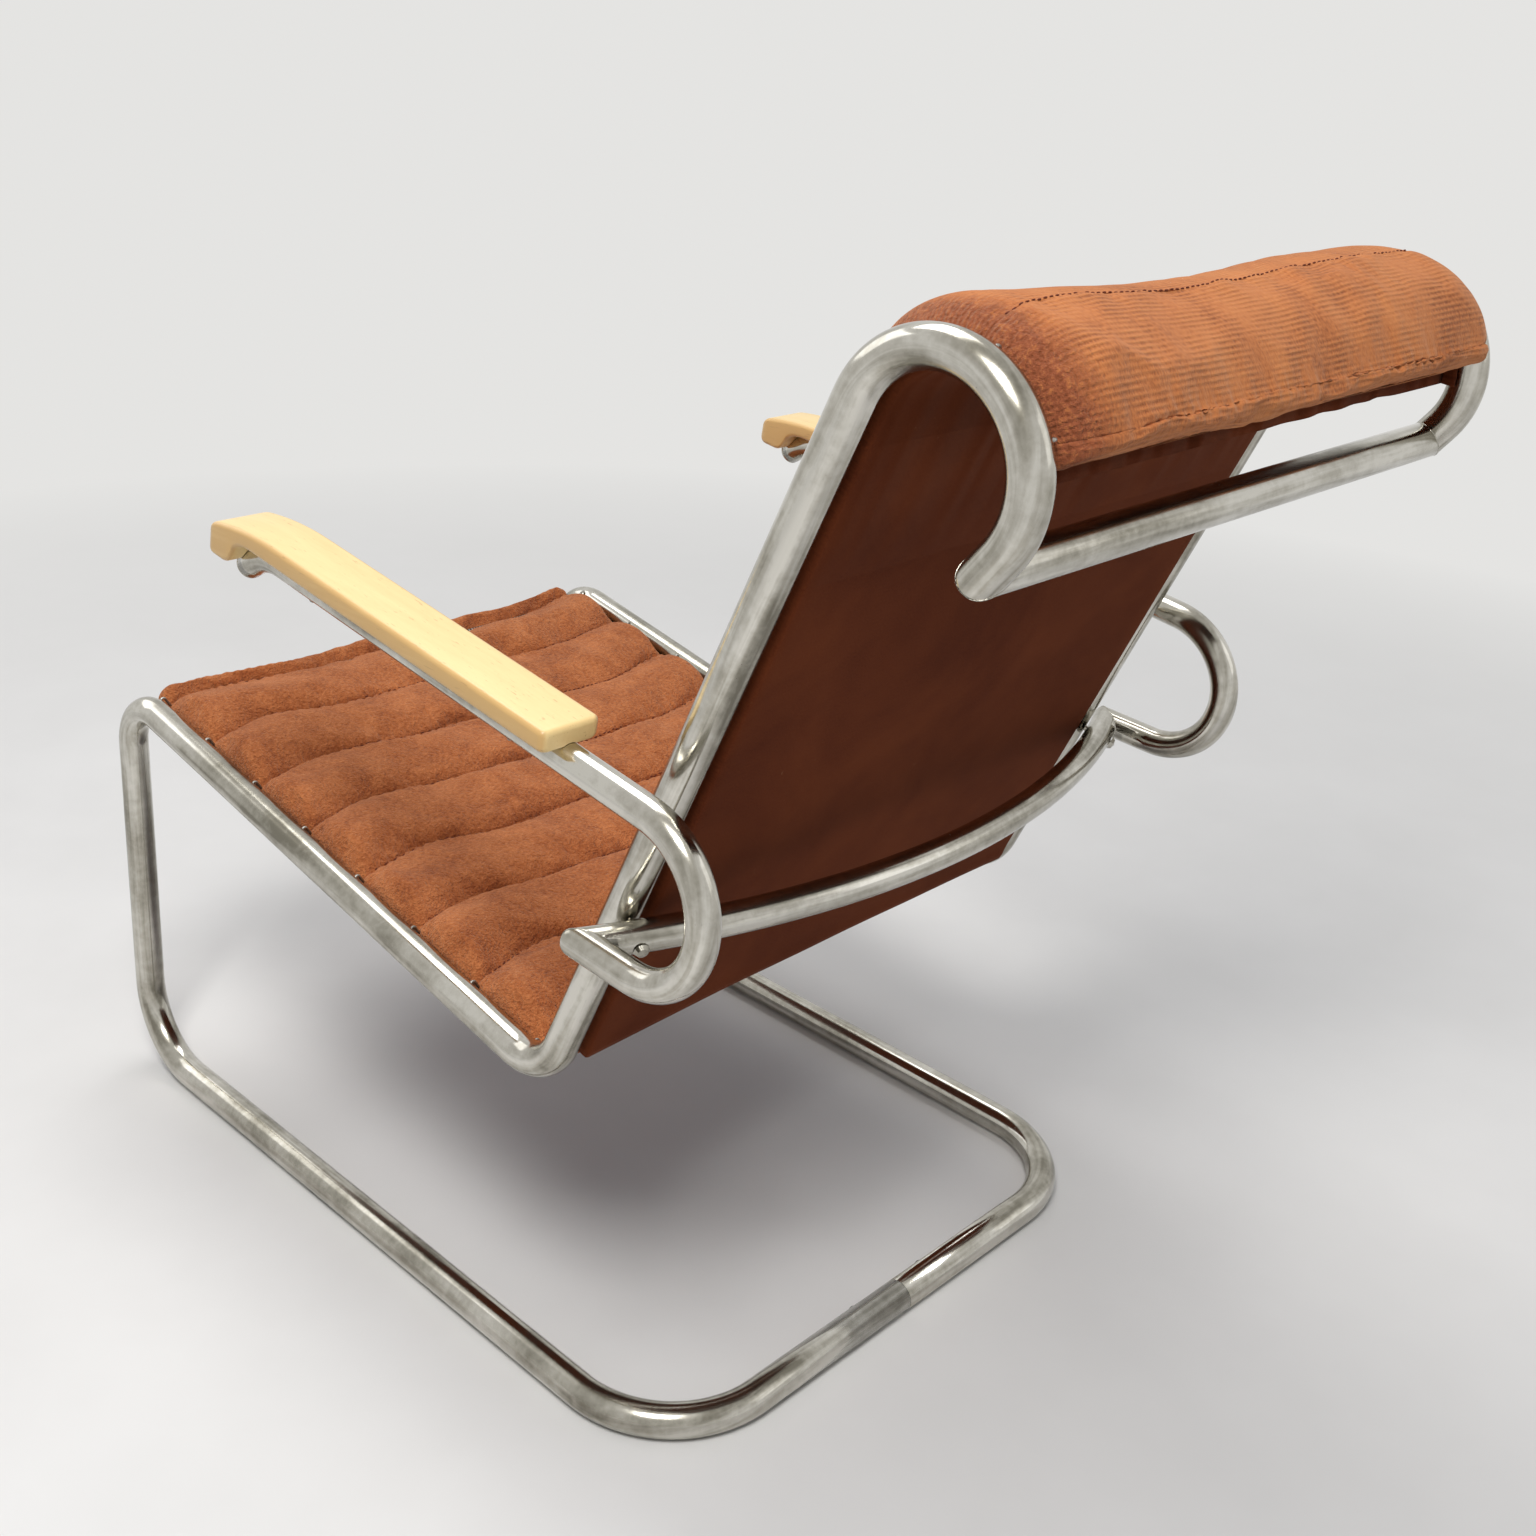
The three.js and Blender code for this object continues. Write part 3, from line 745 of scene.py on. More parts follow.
@dataclass(frozen=True)
class AgedPlating:
    """Old plated tube: satin warm grey with fine pits, and streaks along it that are partly tarnish and rubbed
    wear and partly painted reflection: dark painted reflections of a dark room and bright painted highlights.
    """

    tarnish_and_dark_reflection: tuple = (0.22, 0.205, 0.165)
    dull: tuple = (0.42, 0.40, 0.345)
    bright: tuple = (0.64, 0.62, 0.565)
    pit: tuple = (0.08, 0.07, 0.055)
    stops: tuple = (0.38, 0.475, 0.59)
    clouds: tuple = (16.0, 4.0, 0.6, 0.3)
    grain: tuple = (150.0, 4.0, 0.6)
    streaks: tuple = (110.0, 3.0, 0.55, 0.3)
    streak_scale: tuple = (1, 1, 0.06)
    weights: tuple = (0.30, 0.14, 0.56)
    pits_per_metre: float = 260.0
    pit_range: tuple = (0.0, 0.16, 1.0, 0.0)
    patches: tuple = (22.0, 3.0, 0.5)
    patch_range: tuple = (0.62, 0.72, 0.0, 1.0)
    roughness_range: tuple = (0.40, 0.60, 0.24, 0.11)
    pit_roughness: float = 0.4
    grain_relief: tuple = (0.00006, 0.25)
    waves: tuple = (38.0, 2.0, 0.5)
    wave_relief: tuple = (0.0003, 0.20)

    def build(self, name: str) -> Material:
        """Makes the material.

        Args:
            name: the material's name.

        Returns:
            The new material.
        """
        make = NodeMaker.named(name, Metallic=1.0)
        place = make.coordinates()
        clouds, grain = make.noise(place, *self.clouds), make.noise(place, *self.grain)
        # Streaks along the route: their dark and bright stops are partly tarnish and wear, and partly painted
        # reflections of a dark room and painted highlights.
        streaks = make.noise(make.route_coordinates(self.streak_scale), *self.streaks)
        tone = make.weighted(self.weights, clouds, grain, streaks)
        colour = make.ramp(tone, self.stops, self.tarnish_and_dark_reflection, self.dull, self.bright)
        pits = make.spread(make.cells(place, self.pits_per_metre), *self.pit_range)
        patch = make.spread(make.noise(place, *self.patches), *self.patch_range)
        spots = make.math("MULTIPLY", pits, patch)
        rough = make.weighted((1.0, self.pit_roughness), make.spread(tone, *self.roughness_range), spots)
        normal = make.bump(grain, *self.grain_relief)
        normal = make.bump(make.noise(place, *self.waves), *self.wave_relief, normal)
        return make.finish(make.mix(spots, colour, self.pit), normal, rough)


@dataclass(frozen=True)
class DullZinc:
    """Zinc-plated screws, nuts and springs."""

    dark: tuple = (0.19, 0.185, 0.165)
    light: tuple = (0.42, 0.41, 0.38)
    stops: tuple = (0.35, 0.65)
    grain: tuple = (160.0, 4.0, 0.6)
    roughness_range: tuple = (0.3, 0.7, 0.55, 0.32)
    relief: tuple = (0.0001, 0.4)

    def build(self, name: str) -> Material:
        """Makes the material.

        Args:
            name: the material's name.

        Returns:
            The new material.
        """
        make = NodeMaker.named(name, Metallic=1.0)
        tone = make.noise(make.coordinates(), *self.grain)
        colour = make.ramp(tone, self.stops, self.dark, self.light)
        return make.finish(colour, make.bump(tone, *self.relief), make.spread(tone, *self.roughness_range))


@dataclass(frozen=True)
class LacqueredBeech:
    """Pale beech with fine grain along the arm, sides that are golden and darker (partly the wood's own tone
    and partly painted shade), short dark flecks and a satin lacquer.
    """

    pale: tuple = (0.84, 0.63, 0.29)
    warm: tuple = (0.78, 0.55, 0.24)
    golden_shaded_side: tuple = (0.60, 0.36, 0.125)
    fleck: tuple = (0.42, 0.24, 0.09)
    stops: tuple = (0.28, 0.62)
    shaded_side_stops: tuple = (0.5, 0.9)
    slope: float = 8.2
    middle: float = 291 * MM
    shaded_side_range: tuple = (19.6 * MM, 22.0 * MM, 0.0, 0.9)
    grain: tuple = (260.0, 6.0, 0.62, 0.25)
    grain_run: float = 0.045
    growth: tuple = (40.0, 3.0, 0.5, 1.2)
    growth_run: float = 0.06
    weights: tuple = (0.45, 0.55)
    flecks: tuple = (620.0, 2.0, 0.5)
    fleck_run: float = 0.09
    fleck_range: tuple = (0.66, 0.74, 0.0, 0.55)
    roughness_range: tuple = (0.3, 0.7, 0.46, 0.36)
    relief: tuple = (0.00012, 0.35)

    def drawn_out(self, make: NodeMaker, run: float, kind: tuple) -> Socket:
        """A noise that is drawn out along the arm."""
        return make.noise(make.coordinates((math.radians(self.slope), 0, 0), (1, run, 1)), *kind)

    def build(self, name: str) -> Material:
        """Makes the material.

        Args:
            name: the material's name.

        Returns:
            The new material.
        """
        make = NodeMaker.named(name, Coat_Weight=0.25, Coat_Roughness=0.25)
        grain = self.drawn_out(make, self.grain_run, self.grain)
        tone = make.weighted(self.weights, grain, self.drawn_out(make, self.growth_run, self.growth))
        wood = make.ramp(tone, self.stops, self.warm, self.pale)
        # The board's sides turn to a darker golden ramp: partly the wood's own tone, and partly painted shade
        # on faces that the light from above reaches less.
        across = make.math("ABSOLUTE", make.axis(make.coordinates(), "X"))
        off = make.math("ABSOLUTE", make.math("SUBTRACT", across, self.middle))
        side = make.ramp(tone, self.shaded_side_stops, self.golden_shaded_side, self.warm)
        wood = make.mix(make.spread(off, *self.shaded_side_range), wood, side)
        flecks = make.spread(self.drawn_out(make, self.fleck_run, self.flecks), *self.fleck_range)
        wood = make.mix(flecks, wood, self.fleck)
        return make.finish(wood, make.bump(grain, *self.relief), make.spread(tone, *self.roughness_range))


@dataclass(frozen=True)
class TerryPile:
    """Short looped pile in rust brown, matt, mottled by use."""

    deep: tuple = (0.17, 0.040, 0.015)
    mid: tuple = (0.37, 0.112, 0.036)
    light: tuple = (0.55, 0.195, 0.069)
    stops: tuple = (0.30, 0.47, 0.66)
    sheen_tint: tuple = (1.0, 0.62, 0.42, 1.0)
    tufts: tuple = (330.0, 3.0, 0.65)
    brushed: tuple = (24.0, 5.0, 0.62, 0.8)
    weights: tuple = (0.52, 0.48)
    loops_per_metre: float = 620.0
    loop_relief: tuple = (0.0014, 0.7)
    tuft_relief: tuple = (0.0022, 0.8)
    brushed_relief: tuple = (0.002, 0.35)

    def build(self, name: str) -> Material:
        """Makes the material.

        Args:
            name: the material's name.

        Returns:
            The new material.
        """
        make = NodeMaker.named(name, Sheen_Weight=0.30, Sheen_Roughness=0.45, Roughness=0.95,
                               Sheen_Tint=self.sheen_tint, Specular_IOR_Level=0.12)
        place = make.coordinates()
        tufts, brushed = make.noise(place, *self.tufts), make.noise(place, *self.brushed)
        tone = make.weighted(self.weights, tufts, brushed)
        normal = make.bump(make.cells(place, self.loops_per_metre), *self.loop_relief)
        normal = make.bump(tufts, *self.tuft_relief, normal)
        normal = make.bump(brushed, *self.brushed_relief, normal)
        return make.finish(make.ramp(tone, self.stops, self.deep, self.mid, self.light), normal)


@dataclass(frozen=True)
class RibKnit:
    """Fine knit on the headrest, with ribs that run across the chair, and by the near hook a coarser pile whose
    darker colour is painted shade on the roll's end.
    """

    WAVE_UNIT = 20.0

    deep: tuple = (0.20, 0.052, 0.018)
    mid: tuple = (0.45, 0.150, 0.048)
    light: tuple = (0.55, 0.205, 0.068)
    pile: tuple = (0.30, 0.085, 0.036)
    stops: tuple = (0.28, 0.48, 0.70)
    shaded_pile_stops: tuple = (0.36, 0.52, 0.66)
    sheen_tint: tuple = (1.0, 0.66, 0.45, 1.0)
    ribs_per_metre: float = 380.0
    rib_bend: float = 1.4
    rib_detail: float = 2.0
    rib_detail_scale: float = 9.0
    shown: tuple = (60.0, 3.0, 0.6)
    shown_scale: tuple = (0.6, 1.0, 1.0)
    shown_range: tuple = (0.38, 0.62, 0.1, 1.0)
    stitch: tuple = (700.0, 2.0, 0.6)
    stitch_scale: tuple = (1.0, 0.5, 1.0)
    brushed: tuple = (20.0, 4.0, 0.6, 0.6)
    weights: tuple = (0.50, 0.50, 0.18)
    tufts: tuple = (300.0, 4.0, 0.7)
    ragged: tuple = (45.0, 4.0, 0.7)
    ragged_by: float = 26 * MM
    shaded_end_range: tuple = (220 * MM, 236 * MM, 0.0, 1.0)
    stitch_relief: tuple = (0.0008, 0.5)
    rib_relief: tuple = (0.0012, 0.6)
    pile_relief: tuple = (0.004, 0.8)

    def ribbing(self, make: NodeMaker) -> Socket:
        """The ribs' height over and under their middle, stronger and weaker by patches.

        Args:
            make: the material's maker.

        Returns:
            The height, about 0.
        """
        wave = {"Vector": make.cloth_coordinates(), "Scale": self.ribs_per_metre * math.tau / self.WAVE_UNIT,
                "Distortion": self.rib_bend, "Detail": self.rib_detail, "Detail Scale": self.rib_detail_scale}
        rib = make.node("ShaderNodeTexWave", wave, wave_type="BANDS", bands_direction="Y", wave_profile="SIN")
        patches = make.noise(make.cloth_coordinates(self.shown_scale), *self.shown)
        height = make.math("SUBTRACT", rib.outputs["Fac"], 0.5)
        return make.math("MULTIPLY", height, make.spread(patches, *self.shown_range))

    def build(self, name: str) -> Material:
        """Makes the material.

        Args:
            name: the material's name.

        Returns:
            The new material.
        """
        make = NodeMaker.named(name, Sheen_Weight=0.28, Sheen_Roughness=0.5, Roughness=0.93,
                               Sheen_Tint=self.sheen_tint, Specular_IOR_Level=0.12)
        place = make.coordinates()
        ribbing = self.ribbing(make)
        stitch = make.noise(make.cloth_coordinates(self.stitch_scale), *self.stitch)
        tone = make.weighted(self.weights, make.noise(place, *self.brushed), stitch, ribbing)
        colour = make.ramp(tone, self.stops, self.deep, self.mid, self.light)
        # Towards the near hook the colour mixes into a darker pile: painted shade on the end of the roll, which
        # faces away from the light. Its bump is the coarser knit.
        edge = make.weighted((1.0, self.ragged_by), make.axis(place, "X"), make.noise(place, *self.ragged))
        shaded_end = make.spread(edge, *self.shaded_end_range)
        tufts = make.noise(place, *self.tufts)
        pile = make.ramp(tufts, self.shaded_pile_stops, self.deep, self.pile, self.mid)
        normal = make.bump(ribbing, *self.rib_relief, make.bump(stitch, *self.stitch_relief))
        normal = make.bump(make.math("MULTIPLY", tufts, shaded_end), *self.pile_relief, normal)
        return make.finish(make.mix(shaded_end, colour, pile), normal)


@dataclass(frozen=True)
class RearCloth:
    """Smooth, dark rust cloth, close woven, with small pale scuffs and soft folds below the headrest."""

    dark: tuple = (0.082, 0.017, 0.006)
    light: tuple = (0.150, 0.036, 0.0115)
    scuff: tuple = (0.34, 0.15, 0.08)
    stops: tuple = (0.35, 0.65)
    sheen_tint: tuple = (1.0, 0.5, 0.3, 1.0)
    clouds: tuple = (8.0, 5.0, 0.6, 0.4)
    weave: tuple = (1500.0, 1.0, 0.5)
    weave_scale: tuple = (1.0, 0.35, 1.0)
    weights: tuple = (0.7, 0.3)
    scuffs: tuple = (60.0, 3.0, 0.7, 2.0)
    scuff_range: tuple = (0.73, 0.78, 0.0, 0.5)
    folds: tuple = (32.0, 1.0, 0.4)
    fold_scale: tuple = (1.0, 0.06, 1.0)
    fold_range: tuple = (0.66, 0.75, 0.0, 1.0)
    fold_relief: tuple = (0.03, 1.0)
    weave_relief: tuple = (0.0004, 0.45)

    def build(self, name: str) -> Material:
        """Makes the material.

        Args:
            name: the material's name.

        Returns:
            The new material.
        """
        make = NodeMaker.named(name, Sheen_Weight=0.05, Sheen_Roughness=0.5, Roughness=0.9,
                               Sheen_Tint=self.sheen_tint, Specular_IOR_Level=0.06)
        place = make.coordinates()
        weave = make.noise(make.cloth_coordinates(self.weave_scale), *self.weave)
        tone = make.weighted(self.weights, make.noise(place, *self.clouds), weave)
        colour = make.ramp(tone, self.stops, self.dark, self.light)
        marks = make.spread(make.noise(place, *self.scuffs), *self.scuff_range)
        high = make.spread(make.axis(place, "Z"), *self.fold_range)
        fold = make.noise(make.cloth_coordinates(self.fold_scale), *self.folds)
        normal = make.bump(make.math("MULTIPLY", fold, high), *self.fold_relief)
        return make.finish(make.mix(marks, colour, self.scuff), make.bump(weave, *self.weave_relief, normal))


@dataclass(frozen=True)
class SewingThread:
    """Dark rust sewing thread."""

    dark: tuple = (0.085, 0.022, 0.012)
    light: tuple = (0.187, 0.0484, 0.0264)
    stops: tuple = (0.4, 0.6)
    twist: tuple = (2600.0, 1.0, 0.5)
    relief: tuple = (0.0002, 0.5)

    def build(self, name: str) -> Material:
        """Makes the material.

        Args:
            name: the material's name.

        Returns:
            The new material.
        """
        make = NodeMaker.named(name, Roughness=0.8, Specular_IOR_Level=0.2)
        twist = make.noise(make.coordinates(), *self.twist)
        return make.finish(make.ramp(twist, self.stops, self.dark, self.light), make.bump(twist, *self.relief))


@dataclass(frozen=True)
class Wardrobe:
    """All the chair's materials."""

    plating: Material
    zinc: Material
    beech: Material
    terry: Material
    knit: Material
    cloth: Material
    thread: Material

    @classmethod
    def build(cls) -> "Wardrobe":
        """Makes every material once.

        Returns:
            The materials.
        """
        return cls(
            plating=AgedPlating().build("aged_plating"),
            zinc=DullZinc().build("dull_zinc"),
            beech=LacqueredBeech().build("lacquered_beech"),
            terry=TerryPile().build("terry_pile"),
            knit=RibKnit().build("rib_knit"),
            cloth=RearCloth().build("rear_cloth"),
            thread=SewingThread().build("sewing_thread"),
        )


@dataclass
class FrameTubes:
    """The continuous line of tube on each side, and the top bar between the hooks."""

    profile: SideProfile
    gap: float = 0.15 * MM
    weld_radius: float = 0.8 * MM
    round_share: float = 1.24
    weld_steps: tuple = (72, 8)
    weld_sink: float = 0.25
    weld_flatness: float = 0.55
    weld_waves: tuple = (0.16, 2.9)
    weld_grain: tuple = (0.1, 400.0)

    def route(self, side: Side) -> TubeRoute:
        """The centre line of one side.

        Args:
            side: the side of the chair.

        Returns:
            The route from the middle of the rear floor bar to the end of the hook.
        """
        p, x = self.profile, side.value * self.profile.half_width
        corners = [
            p.at(x, p.base_rear, p.tube_radius),
            p.at(x, p.base_front, p.tube_radius),
            p.spot(p.seat_front, x),
            p.spot(p.seat_rear, x),
            p.spot(p.upright_top, x),
        ]
        radii = [p.base_corner_radius, p.foot_bend_radius, p.seat_front_radius, p.seat_rear_radius]
        route = TubeRoute(p.at(side.value * self.gap, p.base_rear, p.tube_radius), Vector((side.value, 0, 0)))
        for index, radius in enumerate(radii):
            route.corner(corners[index], corners[index + 1], radius)
        route.straight((corners[4] - route.tip).length)
        route.bend(-p.upright_normal, p.hook_radius, p.hook_sweep)
        return route.straight(p.hook_tail)

    def mitre(self, side: Side) -> tuple:
        """The place and the normal of the plane where a hook meets the top bar."""
        route = self.route(side)
        return route.tip.copy(), (route.heading + Vector((-side.value, 0, 0))).normalized()

    def weld(self, name: str, place: Vector, normal: Vector, heading: Vector, radius: float) -> Piece:
        """A thin weld bead round a mitred corner.

        Args:
            name: the piece's name.
            place: the corner.
            normal: the normal of the mitre's plane.
            heading: the direction of one of the two tubes.
            radius: the tubes' radius.

        Returns:
            The bead as a closed ring.
        """
        around, section = self.weld_steps
        (wave, pace), (rough, fine) = self.weld_waves, self.weld_grain
        vertices = []
        for number, offset in enumerate(circle(heading.orthogonal().normalized(), heading, radius, around)):
            centre = place + offset - heading * (offset.dot(normal) / heading.dot(normal))
            outward = (centre - place).normalized()
            size = self.weld_radius * (1 + wave * math.sin(number * pace) + rough * noise.noise(centre * fine))
            for step in range(section):
                turn = math.tau * step / section
                lift = outward * math.cos(turn) * self.weld_flatness + normal * math.sin(turn)
                vertices.append(centre - outward * self.weld_radius * self.weld_sink + lift * size)
        piece = finish_mesh(name, vertices, grid_faces(around, section, loop=True))
        face_out(piece, SAME_PLACE)
        return piece

    def mitred(self, route: TubeRoute, name: str, weld: str, normal: Vector, radius: float, reach: float,
               wardrobe: Wardrobe) -> None:
        """Makes a tube that ends in a mitred corner, and the corner's weld.

        Args:
            route: the tube's centre line, which is shortened by the gap.
            name: the CAD node that it stands for.
            weld: the name of the weld's piece.
            normal: the normal of the mitre's plane.
            radius: the tube's radius.
            reach: how far from the corner the tube and the weld may lie.
            wardrobe: the materials.
        """
        place = route.tip.copy()
        route.points[-1] = place - route.heading * self.gap
        tube = route.sweep(f"{name}_skin", radius, end_plane=normal)
        bead = self.weld(weld, place, normal, route.heading, radius)
        for piece in (tube, bead):
            soften_corner(piece, place, -route.heading, radius, reach)
        mount(tube, wardrobe.plating, Finish.TUBE, name)
        mount(bead, wardrobe.plating, Finish.TUBE)

    def build(self, wardrobe: Wardrobe) -> None:
        """Makes both tubes, the top bar and its welds.

        Args:
            wardrobe: the materials.
        """
        p = self.profile
        reach = p.tube_radius * self.round_share
        for side in Side:
            self.mitred(self.route(side), f"frame_tube_{side.word}", f"hook_weld_{side.word}",
                        self.mitre(side)[1], p.tube_radius, reach, wardrobe)
        left, left_normal = self.mitre(Side.LEFT)
        right, right_normal = self.mitre(Side.RIGHT)
        bar = TubeRoute(right + Vector((self.gap, 0, 0)), Vector((1, 0, 0)))
        bar.straight((left - right).length - 2 * self.gap, 12)
        skin = bar.sweep("top_bar_skin", p.tube_radius, start_plane=right_normal, end_plane=left_normal)
        for place, into in ((left, Vector((-1, 0, 0))), (right, Vector((1, 0, 0)))):
            soften_corner(skin, place, into, p.tube_radius, reach)
        mount(skin, wardrobe.plating, Finish.TUBE, "top_bar")


@dataclass
class ArmTubes:
    """The looped arm tubes, the bowed bar behind the back, and the front plugs."""

    profile: SideProfile
    tubes: FrameTubes
    radius: float = 11 * MM
    spread: float = 41 * MM
    slope: float = 8.2
    rear_height: float = 514.5 * MM
    straight: float = 390 * MM
    droop_radius: float = 60 * MM
    droop: float = 38.0
    nose: float = 8 * MM
    loop_radius: float = 56.8 * MM
    loop_sweep: float = 175.2
    tail: float = 45.2 * MM
    rise: float = 66.5 * MM
    plug_dome: float = 6 * MM
    plug_rim: float = 0.4 * MM
    plug_neck: tuple = (0.70, 5 * MM)
    plug_dome_steps: int = 9
    plug_dome_end: float = 88.0
    plug_sides: int = 36
    gap: float = 0.15 * MM
    round_share: float = 1.3
    corner: Vector = field(init=False)
    rear: Vector = field(init=False)

    def __post_init__(self) -> None:
        """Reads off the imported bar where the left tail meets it, and finds the straight's rear end."""
        low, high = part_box("arm_cross_bar")
        middle_rear = high[1] - self.radius
        self.corner = Vector((self.half_width, middle_rear - self.rise, (low[2] + high[2]) / 2))
        probe = TubeRoute(Vector((0, 0, self.rear_height)), self.line)
        probe.bend(-self.normal, self.loop_radius, self.loop_sweep).straight(self.tail)
        self.rear = Vector((0, self.corner.y - probe.tip.y, self.rear_height))

    @property
    def half_width(self) -> float:
        """From the chair's middle to an arm tube's centre."""
        return self.profile.half_width + self.spread

    @property
    def line(self) -> Vector:
        """The arm's direction towards the rear."""
        return turned(Vector((0, 1, 0)), -self.slope)

    @property
    def normal(self) -> Vector:
        """Up from the arm."""
        return turned(self.line, 90)

    @property
    def bow_radius(self) -> float:
        """The radius of the bowed bar."""
        return (self.half_width**2 + self.rise**2) / (2 * self.rise)

    def place(self, along: float, height: float, x: float) -> Vector:
        """A place on the arm, by its distance forward from the straight's rear and its height over it."""
        spot = self.rear - self.line * along + self.normal * height
        return Vector((x, spot.y, spot.z))

    def route(self, side: Side) -> TubeRoute:
        """The centre line of one arm tube, from its front end to the corner at the bowed bar.

        Args:
            side: the side of the chair.

        Returns:
            The route.
        """
        front = TubeRoute(self.place(self.straight, 0, side.value * self.half_width), -self.line)
        front.bend(-self.normal, self.droop_radius, self.droop).straight(self.nose)
        back = -front.heading
        route = TubeRoute(front.tip, back).straight(self.nose)
        route.bend(turned(back, -90), self.droop_radius, self.droop).straight(self.straight, 6)
        return route.bend(-self.normal, self.loop_radius, self.loop_sweep).straight(self.tail)

    def bow(self) -> TubeRoute:
        """The centre line of the bowed bar, from the left corner to the right one.

        Returns:
            The route.
        """
        slope = math.asin(self.half_width / self.bow_radius)
        heading = Vector((-math.cos(slope), math.sin(slope), 0))
        inward = Vector((-math.sin(slope), -math.cos(slope), 0))
        return TubeRoute(self.corner, heading).bend(inward, self.bow_radius, math.degrees(2 * slope), 48)

    def plug(self, side: Side) -> Piece:
        """The domed plug in the front end of an arm tube.

        Args:
            side: the side of the chair.

        Returns:
            The closed plug.
        """
        route = self.route(side)
        centre, back = route.points[0], route.headings[0]
        across = back.orthogonal().normalized()
        neck, foot = self.radius * self.plug_neck[0], -self.gap - self.plug_rim
        profile = [(neck, self.plug_neck[1]), (neck, -self.gap), (self.radius - self.plug_rim, -self.gap)]
        for step in range(self.plug_dome_steps + 1):
            angle = math.radians(self.plug_dome_end) * step / self.plug_dome_steps
            profile.append((self.radius * math.cos(angle), foot - self.plug_dome * math.sin(angle)))
        rings = [[centre + back * along + offset for offset in circle(across, back, reach, self.plug_sides)]
                 for reach, along in profile]
        piece = loft(f"arm_plug_{side.word}", rings)
        face_out(piece, SAME_PLACE)
        return piece

    def build(self, wardrobe: Wardrobe) -> None:
        """Makes the arm tubes, the bowed bar, the welds and the plugs.

        Args:
            wardrobe: the materials.
        """
        bow = self.bow()
        reach = self.radius * self.round_share
        planes, corners = {}, []
        for side in Side:
            route = self.route(side)
            leaving = bow.headings[0] if side is Side.LEFT else -bow.headings[-1]
            normal = (route.heading + leaving).normalized()
            planes[side] = normal
            corners.append((route.tip.copy(), leaving))
            self.tubes.mitred(route, f"arm_tube_{side.word}", f"arm_weld_{side.word}",
                              normal, self.radius, reach, wardrobe)
            mount(self.plug(side), wardrobe.plating, Finish.TUBE, f"arm_tube_plug_{side.word}")
        bow.points[0] += bow.headings[0] * self.gap
        bow.points[-1] -= bow.headings[-1] * self.gap
        bar = bow.sweep("arm_cross_bar_skin", self.radius, start_plane=planes[Side.LEFT],
                        end_plane=planes[Side.RIGHT])
        for corner, leaving in corners:
            soften_corner(bar, corner, leaving, self.radius, reach)
        mount(bar, wardrobe.plating, Finish.TUBE, "arm_cross_bar")


